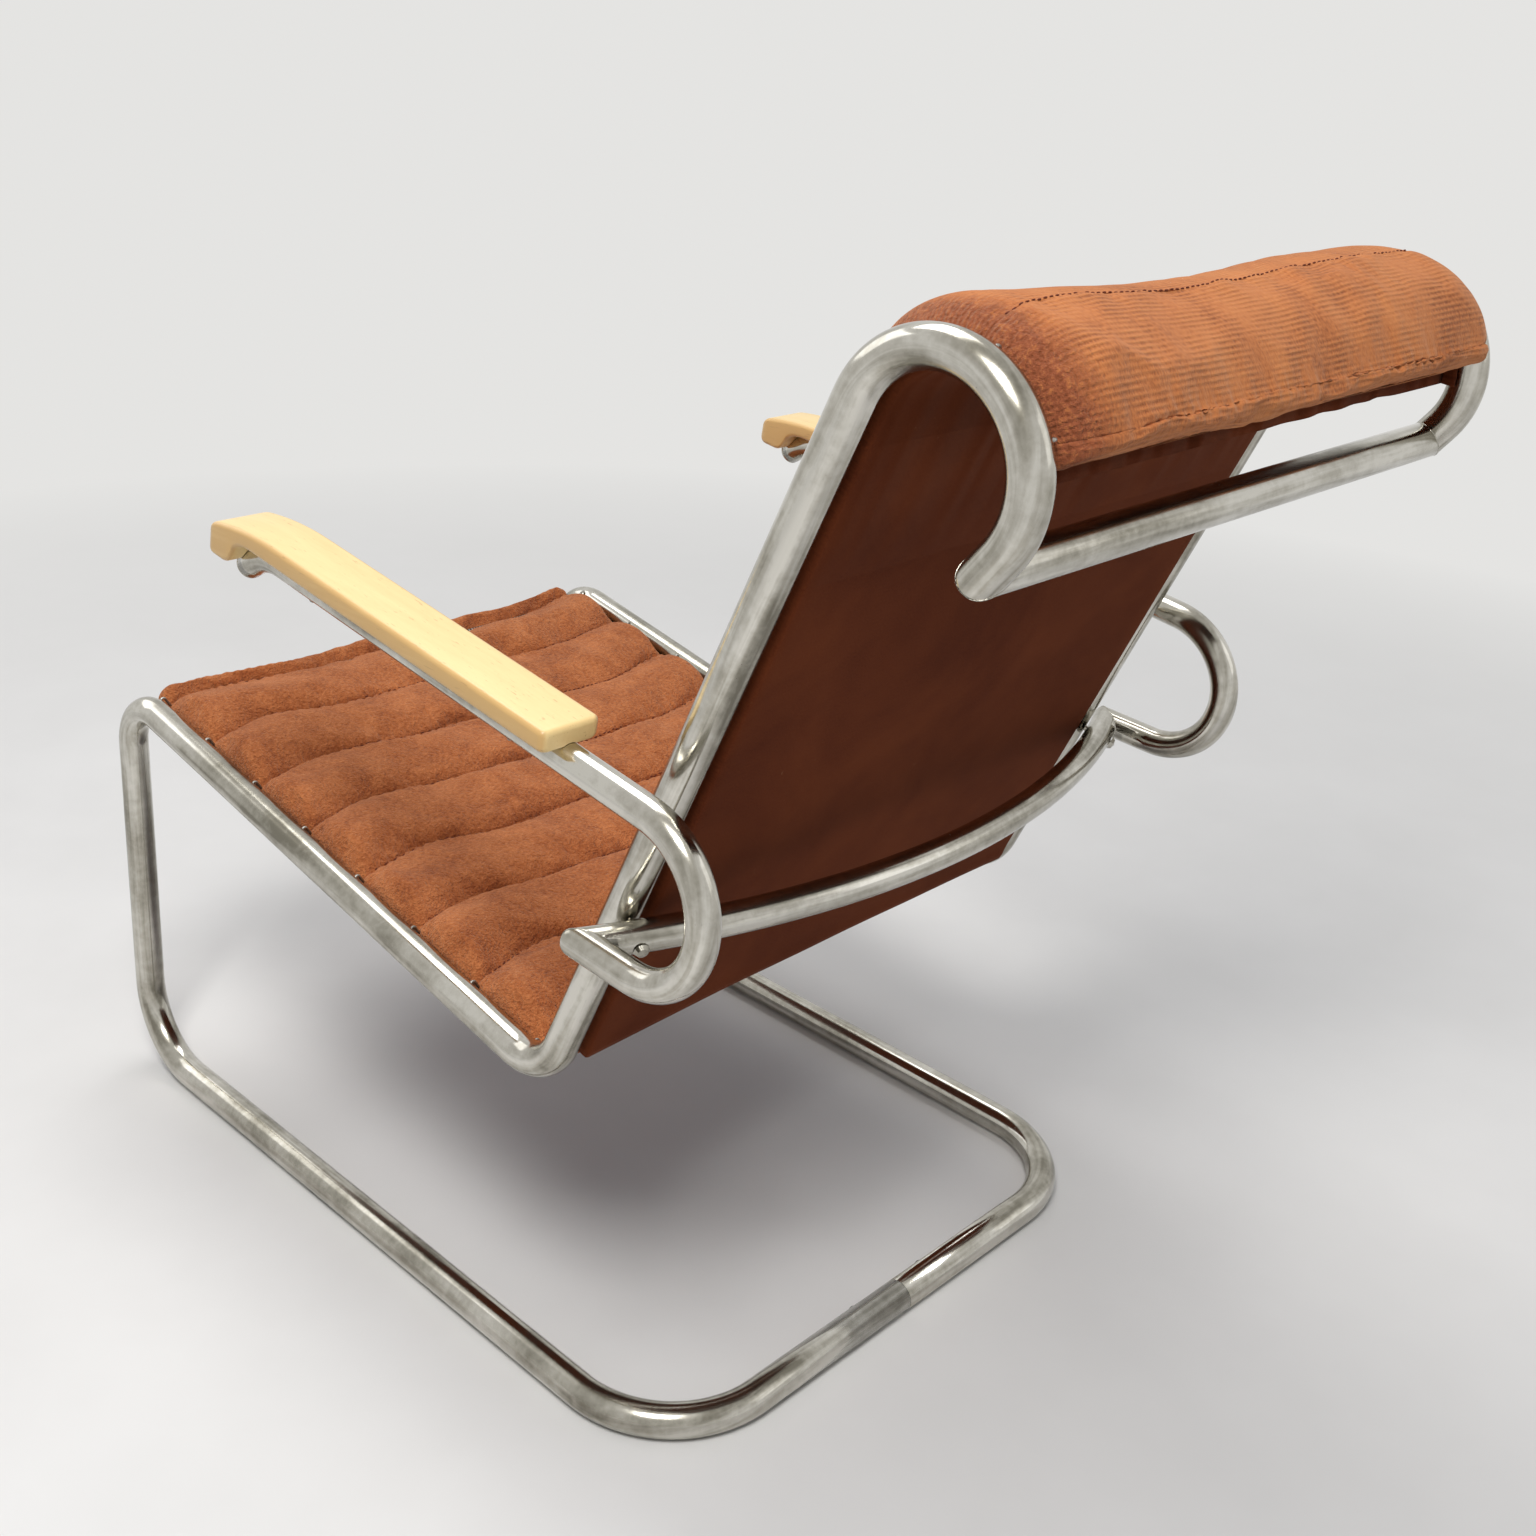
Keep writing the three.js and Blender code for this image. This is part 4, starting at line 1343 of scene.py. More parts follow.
@dataclass
class Armrests:
    """The two beech boards over the arm tubes."""

    arms: ArmTubes
    width: float = 47 * MM
    top: float = 24 * MM
    side_height: float = 9 * MM
    rear_inset: float = 74 * MM
    nose_cover: float = 21.5 * MM
    nose_drop: float = 12 * MM
    nose_height: float = -1 * MM
    fall: float = 8 * MM
    fall_run: float = 88 * MM
    brow: float = 18.5 * MM
    brow_drop: float = 3.5 * MM
    lip_start: float = 59.5 * MM
    lip_bend: float = 39.5 * MM
    lip_mid: float = 34.5 * MM
    lip_turn: float = 31.5 * MM
    lip_foot: float = 22.5 * MM
    chin: float = 11.5 * MM
    edge: float = 3.8 * MM
    rear_corner: float = 5 * MM
    nose_corner: float = 11 * MM
    clearance: float = 0.4 * MM
    corner_steps: int = 7
    rear_under_share: float = 0.35
    sharp_degrees: float = 35.0

    @property
    def front(self) -> float:
        """How far forward the wood's tip lies along the arm.

        Returns:
            The distance forward from the rear of the arm's straight.
        """
        arms = self.arms
        run = arms.droop_radius * math.sin(math.radians(arms.droop))
        tip = (arms.nose + arms.plug_dome) * math.cos(math.radians(arms.droop))
        return arms.straight + run + tip + self.nose_cover

    def top_line(self) -> list:
        """The board's upper outline as (along, height), from the rear to the tip.

        Returns:
            Pairs of distance and height.
        """
        tip, low = self.front, self.top - self.fall
        start, brow = tip - self.fall_run, tip - self.brow
        line = [(self.rear_inset, self.top), (start, self.top)]
        line += arc_points((start, self.top), ((start + brow) / 2, self.top), (brow, low), 12)
        return line + arc_points((brow, low), (tip, low - self.brow_drop), (tip, self.nose_height), 24)

    def under_line(self) -> list:
        """The board's lower outline as (along, height), from the rear to the tip.

        Returns:
            Pairs of distance and height.
        """
        tip, side, drop = self.front, self.side_height, -self.nose_drop
        line = [(self.rear_inset, side), (tip - self.lip_start, side)]
        line += arc_points(line[-1], (tip - self.lip_bend, side), (tip - self.lip_mid, 0.0), 10)
        line += arc_points(line[-1], (tip - self.lip_turn, drop), (tip - self.lip_foot, drop), 10)
        line.append((tip - self.chin, drop))
        return line + arc_points(line[-1], (tip, drop), (tip, self.nose_height), 20)

    def stations(self) -> list:
        """Where the board's sections lie, close together where it bends.

        Returns:
            Distances along the arm.
        """
        rear, tip = self.rear_inset, self.front
        eased = [rear + self.rear_corner * (1 - math.cos(math.pi / 2 * step / 9)) for step in range(10)]
        body = np.linspace(rear + self.rear_corner, tip - self.fall_run, 26)[1:]
        falling = np.linspace(tip - self.fall_run, tip - self.brow, 34)[1:]
        nose = [tip - self.brow + self.brow * math.sin(math.pi / 2 * step / 14.3) for step in range(1, 15)]
        return [*eased, *body.tolist(), *falling.tolist(), *nose]

    def section(self, along: float, x: float) -> list:
        """One section of the board: a rectangle with rounded corners, smaller towards the ends.

        Args:
            along: where it lies on the arm.
            x: the board's middle.

        Returns:
            The section's places.
        """
        high = float(np.interp(along, *zip(*self.top_line())))
        low = float(np.interp(along, *zip(*self.under_line())))
        from_rear, from_tip = along - self.rear_inset, self.front - along
        drawn = quarter_round(from_rear, self.edge)
        high, low = high - drawn, low + self.rear_under_share * drawn
        half = self.width / 2 - quarter_round(from_rear, self.rear_corner)
        half -= quarter_round(from_tip, self.nose_corner)
        radius = min(self.edge, (high - low) * 0.49)
        places = []
        for corner in range(4):
            sign_x, sign_z = (1, 1, -1, -1)[corner], (-1, 1, 1, -1)[corner]
            centre_x, centre_z = sign_x * (half - radius), (high if sign_z > 0 else low) - sign_z * radius
            for step in range(self.corner_steps + 1):
                angle = math.pi / 2 * (corner - 1 + step / self.corner_steps)
                spot_x = centre_x + radius * math.cos(angle)
                spot_z = centre_z + radius * math.sin(angle)
                places.append(self.arms.place(along, spot_z, x + spot_x))
        return places

    def build(self, wardrobe: Wardrobe) -> None:
        """Makes both boards.

        Args:
            wardrobe: the materials.
        """
        for side in Side:
            board = self.board(side)
            mount(board, wardrobe.beech, Finish.BEECH, f"armrest_{side.word}")

    def board(self, side: Side) -> Piece:
        """One board: a row of sections, grooved over the tube and its plug.

        Args:
            side: the side of the chair.

        Returns:
            The grooved board.
        """
        arms = self.arms
        x = side.value * arms.half_width
        board = loft(f"armrest_{side.word}_board", [self.section(along, x) for along in self.stations()])
        face_out(board, SAME_PLACE)
        route = arms.route(side)
        route.points[0] -= route.headings[0] * (arms.plug_dome + 2 * self.clearance)
        groove = route.sweep("groove", arms.radius + self.clearance, sides=32)
        cut = board.modifiers.new("groove", "BOOLEAN")
        cut.operation = "DIFFERENCE"
        cut.solver = "EXACT"
        cut.object = groove
        baked(board)
        bpy.data.objects.remove(groove)
        return shade_by_angle(board, self.sharp_degrees)


def quarter_round(distance: float, radius: float) -> float:
    """How far an edge is drawn in at a distance from an end that is rounded by a radius."""
    missing = max(0.0, 1 - distance / radius)
    return radius * (1 - math.sqrt(max(0.0, 1 - missing * missing)))


def arc_points(start: tuple, middle: tuple, end: tuple, steps: int) -> list:
    """Points on a quadratic curve, without its start.

    Args:
        start: the first point.
        middle: the control point.
        end: the last point.
        steps: how many points to give.

    Returns:
        A list of pairs.
    """
    points = []
    for step in range(1, steps + 1):
        t = step / steps
        both = zip(start, middle, end)
        points.append(tuple((1 - t) ** 2 * a + 2 * t * (1 - t) * b + t * t * c for a, b, c in both))
    return points


def shade_by_angle(piece: Piece, degrees: float) -> Piece:
    """Shades a piece smooth but for edges sharper than an angle.

    Args:
        piece: the mesh object.
        degrees: the angle.

    Returns:
        The same object.
    """
    piece.data.shade_smooth()
    piece.data.set_sharp_from_angle(angle=math.radians(degrees))
    return piece


@dataclass
class Pad:
    """One sewn pad: a closed skin, crowned between its seams and drawn in at its edges."""

    name: str
    place: Place
    seams: list
    start: float
    end: float
    half_width: float
    base: float
    crest: float
    seam_height: float
    seed: int
    columns: int = 84
    side_columns: int = 8
    under_columns: int = 12
    rows: int = 12
    end_rows: int = 12
    side_round: float = 16 * MM
    start_round: float = 9 * MM
    end_round: float = 9 * MM
    start_drop: float = 0.0
    draw_in: float = 5 * MM
    plan_corner: float = 12 * MM
    seam_sway: float = 12 * MM
    sway_from: float = 0.62
    wander: float = 5.5 * MM
    bulge_power: float = 0.62
    uneven: float = 1.6 * MM
    puckers: float = 0.9 * MM
    folds: float = 1.1 * MM
    lumps: float = 1.3 * MM
    puff: float = 5 * MM
    far_bulge: float = 0.0
    far_bulge_height: float = 5.5 * MM
    drop_run: float = 25 * MM
    drapes: float = 0.0
    stitched: int = 99
    crown: Callable[[float], float] = staticmethod(lambda share: 1.0)
    seam_reach: float = 30 * MM
    pucker_wave: float = 610.0
    pucker_reach: float = 8 * MM
    fold_off: float = 10 * MM
    fold_width: float = 2.6 * MM
    drape_waves: tuple = (175.0, 75.0)
    stitch_span: float = 0.93
    stitch_places: int = 130

    def seam_at(self, number: int, share: float) -> float:
        """Where a seam lies at a share across the pad, with its waves and its pull forward at the edges.

        Args:
            number: the seam's number.
            share: from -1 at the right edge to 1 at the left edge.

        Returns:
            The distance along the pad.
        """
        edge = smooth_step((abs(share) - self.sway_from) / (1 - self.sway_from))
        pull = edge if share < 0 else math.exp(-(((share - 0.73) / 0.2) ** 2))
        broad = ripple(share * 2.1 + number * 7.1, self.seed * 3.7, 0.3)
        fine = ripple(share * 5.5 + number * 3.3, self.seed * 1.7, 4.1)
        calm = 1 - 0.6 * edge
        return self.seams[number] - self.seam_sway * pull + self.wander * calm * (broad + 0.35 * fine)

    def columns_across(self) -> list:
        """The columns across the top as (distance across, share of the height there), right to left.

        Returns:
            The columns.
        """
        flat = self.half_width - self.side_round
        side = []
        for step in range(self.side_columns):
            angle = math.pi / 2 * step / self.side_columns
            side.append((flat + self.side_round * math.cos(angle), math.sin(angle)))
        middle = [(-flat + 2 * flat * step / self.columns, 1.0) for step in range(self.columns + 1)]
        return [(-x, rise) for x, rise in side] + middle + side[::-1]

    def rows_along(self) -> list:
        """The rows as (seam before, seam after, share between them); None stands for an end.

        Returns:
            The rows.
        """
        edges = [None, *range(len(self.seams)), None]
        result = []
        for before, after in zip(edges, edges[1:]):
            count = self.end_rows if None in (before, after) else self.rows
            for step in range(0 if before is None else 1, count + 1):
                result.append((before, after, (1 - math.cos(math.pi * step / count)) / 2))
        return result

    def along(self, before: Optional[int], after: Optional[int], share: float, across: float) -> float:
        """The distance along the pad of a row at a share across it.

        Args:
            before: the seam before, or None at the start.
            after: the seam after, or None at the end.
            share: how far it lies between the two, from 0 to 1.
            across: the share across the pad, from -1 to 1.

        Returns:
            The distance.
        """
        low = self.start if before is None else self.seam_at(before, across)
        high = self.end if after is None else self.seam_at(after, across)
        return low + (high - low) * share

    def bulge(self, before: Optional[int], after: Optional[int], share: float) -> float:
        """How far the pad rises between two seams, from 0 at a seam to 1; it stays up towards an end.

        Args:
            before: the seam before, or None at the start.
            after: the seam after, or None at the end.
            share: how far it lies between the two, from 0 to 1.

        Returns:
            The share of the full rise.
        """
        turn = math.pi * share
        if before is None:
            turn = math.pi / 2 * (1 + share)
        elif after is None:
            turn = math.pi / 2 * share
        return max(0.0, math.sin(turn)) ** self.bulge_power

    def height(self, before: Optional[int], after: Optional[int], share: float, across: float) -> float:
        """The top's height over the base, without its ends and sides.

        Args:
            before: the seam before, or None at the start.
            after: the seam after, or None at the end.
            share: how far it lies between the two, from 0 to 1.
            across: the share across the pad, from -1 to 1.

        Returns:
            The height.
        """
        along = self.along(before, after, share, across)
        number = self.seed * 5.3 + (before if before is not None else -1) * 2.7
        swell = ripple(across * 2.6, number, 2.2)
        swell += 0.5 * ripple(across * 6, along * 20, number)
        rise = self.bulge(before, after, share)
        crest = (self.crest + self.uneven * swell) * self.crown(across)
        seam = self.seam_height * self.crown(across)
        return seam + (crest - seam) * rise - self.base

    def ends(self, along: float, across: float) -> tuple:
        """How the pad closes at its two ends.

        Args:
            along: the distance along the pad.
            across: the share across it.

        Returns:
            The share of the height that is left, the plan's draw-in and the drop of the base.
        """
        from_start, from_end = max(0.0, along - self.start), max(0.0, self.end - along)
        left = 1 - quarter_round(from_start, self.start_round) / self.start_round
        left *= 1 - quarter_round(from_end, self.end_round) / self.end_round
        drawn = quarter_round(min(from_start, from_end), self.plan_corner)
        drop = self.start_drop * (1 - smooth_step(from_start / self.drop_run)) * (1.5 - 0.9 * across**4)
        return left, drawn, drop

    def build(self) -> Piece:
        """Makes the pad, blows it up between its seams, and maps its cloth.

        Returns:
            The closed pad.
        """
        columns = self.columns_across()
        vertices, pins, cloth, tops = [], [], [], []
        under = [1 - 2 * step / self.under_columns for step in range(1, self.under_columns)]
        around = len(columns) + len(under)
        rows = self.rows_along()
        for row, (before, after, share) in enumerate(rows):
            inset = self.draw_in * (1 - self.bulge(before, after, share))
            held = row in (0, len(rows) - 1) or (after is not None and share > 0.999)
            for x, side in columns:
                across = x / self.half_width
                along = self.along(before, after, share, across)
                left, drawn, drop = self.ends(along, across)
                height = self.height(before, after, share, across) * side * left
                width = x * (1 - (drawn + inset) / self.half_width) - self.far_reach(x, height)
                vertices.append(self.place(along, self.base + height - drop, width))
                pins.append(1.0 if held or side < 0.5 else 0.0)
                cloth.append((x, along))
                tops.append(side)
            for across in under:
                along = self.along(before, after, share, across)
                _, drawn, drop = self.ends(along, across)
                x = across * (self.half_width - drawn - inset)
                vertices.append(self.place(along, self.base - drop, x))
                pins.append(1.0)
                cloth.append((x, along))
                tops.append(0.0)
        faces = [(a, d, c, b) for a, b, c, d in grid_faces(len(rows), around)]
        faces.append(tuple(range(around)))
        faces.append(tuple(reversed(range((len(rows) - 1) * around, len(rows) * around))))
        piece = finish_mesh(self.name, vertices, faces)
        lay_cloth_map(piece, cloth)
        piece.data.attributes.new("top", "FLOAT", "POINT").data.foreach_set("value", tops)
        Inflation(self.puff).blow(piece, pins)
        face_out(piece)
        subdivision = piece.modifiers.new("smooth", "SUBSURF")
        subdivision.levels = 1
        subdivision.render_levels = 1
        subdivision.use_limit_surface = False
        baked(piece)
        self.crease(piece)
        return piece

    def far_reach(self, x: float, height: float) -> float:
        """How far the pad swells out over the far tube, above the tube's top.

        Args:
            x: the distance across the chair, from its middle.
            height: the height over the pad's base there.

        Returns:
            The distance.
        """
        if x > 0 or self.far_bulge == 0:
            return 0.0
        outer = smooth_step((-x - self.half_width + 2 * self.side_round) / (2 * self.side_round))
        return self.far_bulge * outer * smooth_step((height - self.far_bulge_height) / (9.5 * MM))

    def relief(self, x: float, along: float) -> float:
        """The fine relief of the used cloth at a place: puckers and folds by the seams, and soft lumps.

        Args:
            x: the distance across the chair, from its middle.
            along: the distance along the piece.

        Returns:
            The height to add.
        """
        across = x / self.half_width
        height = self.lumps * ripple(x * 13, along * 17, self.seed)
        height += 0.45 * self.lumps * ripple(x * 40, along * 45, self.seed + 3)
        if self.drapes:
            sway = ripple(x * 7, along * 9, self.seed + 5)
            shown = smooth_step(0.35 + 1.6 * ripple(x * 11, along * 6, self.seed + 9))
            turn = x * self.drape_waves[0] - along * self.drape_waves[1] + 3.2 * sway
            height += self.drapes * shown * math.sin(turn)
        for number in range(len(self.seams)):
            off = along - self.seam_at(number, across)
            if abs(off) > self.seam_reach:
                continue
            wave = math.sin(x * self.pucker_wave + 5 * ripple(x * 16, number * 3.1, self.seed))
            strength = 0.5 + ripple(x * 9, number * 2.3, self.seed + 1.5)
            height += self.puckers * max(0.0, strength) * wave * math.exp(-abs(off) / self.pucker_reach)
            fold = smooth_step(0.2 + 1.8 * ripple(x * 8, number * 4.1, self.seed + 7))
            height -= self.folds * fold * math.exp(-(((off - self.fold_off) / self.fold_width) ** 2))
        return height

    def crease(self, piece: Piece) -> None:
        """Moves the finished top along its normals by the fine relief.

        Args:
            piece: the finished piece.
        """
        mesh = piece.data
        places = {}
        layer = mesh.uv_layers[CLOTH_MAP]
        for loop in mesh.loops:
            places[loop.vertex_index] = layer.data[loop.index].uv
        tops = [value.value for value in mesh.attributes["top"].data]
        normals = [vertex.normal.copy() for vertex in mesh.vertices]
        for index, (x, along) in places.items():
            if tops[index] > 0.3:
                mesh.vertices[index].co += normals[index] * (self.relief(x, along) * smooth_step(tops[index]))
        mesh.update()

    def seam_paths(self, piece: Piece) -> list:
        """The places of the seams on the finished top, found by rays from above it.

        Args:
            piece: the finished pad.

        Returns:
            For each seam the places of its thread.
        """
        mesh = piece.data
        tree = BVHTree.FromPolygons([v.co for v in mesh.vertices], [tuple(f.vertices) for f in mesh.polygons])
        above, lift, count, span = 60 * MM, 0.35 * MM, self.stitch_places, self.stitch_span
        paths = []
        for number in range(min(self.stitched, len(self.seams))):
            path = []
            for step in range(count + 1):
                across = -span + 2 * span * step / count
                along = self.seam_at(number, across)
                start = self.place(along, above, across * self.half_width)
                down = (self.place(along, 0.0, across * self.half_width) - start).normalized()
                spot = tree.ray_cast(start, down)[0]
                if spot is not None:
                    path.append(spot - down * lift)
            paths.append(path)
        return paths


def lay_cloth_map(piece: Piece, cloth: list) -> None:
    """Writes a UV map in metres from one pair for each vertex.

    Args:
        piece: the mesh object.
        cloth: (across, along) for each vertex.
    """
    layer = piece.data.uv_layers.new(name=CLOTH_MAP)
    for loop in piece.data.loops:
        layer.data[loop.index].uv = cloth[loop.vertex_index]


@dataclass
class Inflation:
    """Blows up a sewn skin with cloth simulation, held at its pins."""

    cap: float
    frames: int = 14
    pressure: float = 3.0
    ease: float = -0.012
    CLOTH = {"quality": 5, "mass": 0.25, "tension_stiffness": 25, "compression_stiffness": 25,
             "shear_stiffness": 6, "bending_stiffness": 0.25, "use_pressure": True}

    def blow(self, piece: Piece, pins: list) -> None:
        """Runs the simulation and writes its result to the mesh.

        Args:
            piece: the closed skin.
            pins: how firmly each vertex is held, from 0 to 1.
        """
        scene = bpy.context.scene
        group = piece.vertex_groups.new(name="sewn")
        for index, weight in enumerate(pins):
            if weight > 0:
                group.add([index], weight, "REPLACE")
        before = np.empty(len(piece.data.vertices) * 3)
        piece.data.vertices.foreach_get("co", before)
        cloth = piece.modifiers.new("blow", "CLOTH")
        settings = cloth.settings
        for name, value in self.CLOTH.items():
            setattr(settings, name, value)
        settings.uniform_pressure_force = self.pressure
        settings.shrink_min = self.ease
        settings.shrink_max = self.ease
        settings.vertex_group_mass = group.name
        settings.effector_weights.gravity = 0
        cloth.point_cache.frame_start = 1
        cloth.point_cache.frame_end = self.frames
        for number in range(1, self.frames + 1):
            scene.frame_set(number)
        graph = bpy.context.evaluated_depsgraph_get()
        result = piece.evaluated_get(graph).data
        after = np.empty(len(result.vertices) * 3)
        result.vertices.foreach_get("co", after)
        piece.modifiers.clear()
        scene.frame_set(1)
        moved = (after - before).reshape(-1, 3)
        length = np.linalg.norm(moved, axis=1)
        limit = self.cap * np.tanh(length / self.cap) / np.maximum(length, 1e-9)
        settled = before.reshape(-1, 3) + moved * limit[:, None]
        piece.data.vertices.foreach_set("co", settled.ravel())
        piece.data.update()
        piece.vertex_groups.clear()


class GeometryTrees:
    """Geometry Nodes trees for what repeats: stitches along a seam, and coils."""

    THREAD_SMOOTHNESS = 2
    TURN_SIDES = 10
    WIRE_SIDES = 5

    @staticmethod
    def started(name: str, *sizes: str) -> tuple:
        """A new tree that takes a mesh and some sizes, and gives a mesh.

        Args:
            name: the tree's name.
            sizes: the names of its sizes.

        Returns:
            The tree's maker and the sockets that the tree is given.
        """
        tree = bpy.data.node_groups.new(name, "GeometryNodeTree")
        tree.interface.new_socket("Geometry", in_out="INPUT", socket_type="NodeSocketGeometry")
        for size in sizes:
            tree.interface.new_socket(size, in_out="INPUT", socket_type="NodeSocketFloat")
        tree.interface.new_socket("Geometry", in_out="OUTPUT", socket_type="NodeSocketGeometry")
        make = NodeMaker(tree)
        return make, make.node("NodeGroupInput").outputs

    @staticmethod
    def copied(make: NodeMaker, material: Material, inputs: dict) -> bpy.types.NodeTree:
        """Lays copies on points, makes them real, paints them and ends the tree.

        Args:
            make: the tree's maker.
            material: the material of the copies.
            inputs: the points, the copy and how it lies.

        Returns:
            The finished tree.
        """
        copies = make.node("GeometryNodeInstanceOnPoints", inputs)
        real = make.node("GeometryNodeRealizeInstances", {"Geometry": copies.outputs["Instances"]})
        painted = {"Geometry": real.outputs["Geometry"], "Material": material}
        paint = make.node("GeometryNodeSetMaterial", painted)
        make.node("NodeGroupOutput", {"Geometry": paint.outputs["Geometry"]})
        return make.tree

    @classmethod
    def stitches(cls, material: Material) -> bpy.types.NodeTree:
        """A tree that lays short threads along the edges of a line mesh.

        Args:
            material: the material of the copies.

        Returns:
            The tree.
        """
        make, given = cls.started("seam_stitches", "Spacing", "Length", "Radius")
        curve = make.node("GeometryNodeMeshToCurve", {"Mesh": given["Geometry"]})
        spaced = {"Curve": curve.outputs["Curve"], "Length": given["Spacing"]}
        points = make.node("GeometryNodeCurveToPoints", spaced, mode="LENGTH")
        thread = make.node("GeometryNodeMeshIcoSphere", {"Subdivisions": cls.THREAD_SMOOTHNESS, "Radius": 0.5})
        width = make.math("MULTIPLY", given["Radius"], 2.0)
        size = make.node("ShaderNodeCombineXYZ", {"X": width, "Y": width, "Z": given["Length"]})
        return cls.copied(make, material, {
            "Points": points.outputs["Points"],
            "Instance": thread.outputs["Mesh"],
            "Rotation": points.outputs["Rotation"],
            "Scale": size.outputs["Vector"],
        })

    @classmethod
    def coils(cls, material: Material) -> bpy.types.NodeTree:
        """A tree that turns each point of a mesh into a close-wound coil across the chair.

        Args:
            material: the material of the copies.

        Returns:
            The tree.
        """
        make, given = cls.started("cross_coils", "Reach", "Radius", "Wire", "Turns")
        spiral = make.node("GeometryNodeCurveSpiral", {
            "Resolution": cls.TURN_SIDES,
            "Rotations": given["Turns"],
            "Start Radius": given["Radius"],
            "End Radius": given["Radius"],
            "Height": given["Reach"],
        })
        section = {"Resolution": cls.WIRE_SIDES, "Radius": given["Wire"]}
        ring = make.node("GeometryNodeCurvePrimitiveCircle", section)
        swept = {"Curve": spiral.outputs["Curve"], "Profile Curve": ring.outputs["Curve"], "Fill Caps": True}
        wire = make.node("GeometryNodeCurveToMesh", swept)
        turned_over = {"Geometry": wire.outputs["Mesh"], "Rotation": (0, math.pi / 2, 0)}
        laid = make.node("GeometryNodeTransform", turned_over)
        return cls.copied(make, material, {"Points": given["Geometry"], "Instance": laid.outputs["Geometry"]})


def grow(piece: Piece, tree: bpy.types.NodeTree, **inputs: object) -> Piece:
    """Runs a geometry tree on a piece and keeps its result.

    Args:
        piece: the mesh that the tree starts from.
        tree: the Geometry Nodes tree.
        inputs: the tree's inputs by name.

    Returns:
        The same object with the tree's mesh, shaded smooth.
    """
    modifier = piece.modifiers.new("grow", "NODES")
    modifier.node_group = tree
    sockets = {item.name: item.identifier for item in tree.interface.items_tree if item.in_out == "INPUT"}
    for name, value in inputs.items():
        modifier[sockets[name]] = value
    baked(piece).data.shade_smooth()
    return piece


def line_mesh(name: str, runs: list) -> Piece:
    """A mesh of edges along several runs of places.

    Args:
        name: the object's name.
        runs: lists of places.

    Returns:
        The new object.
    """
    vertices, edges = [], []
    for run in runs:
        first = len(vertices)
        vertices += run
        edges += [(first + n, first + n + 1) for n in range(len(run) - 1)]
    return finish_mesh(name, vertices, (), edges)


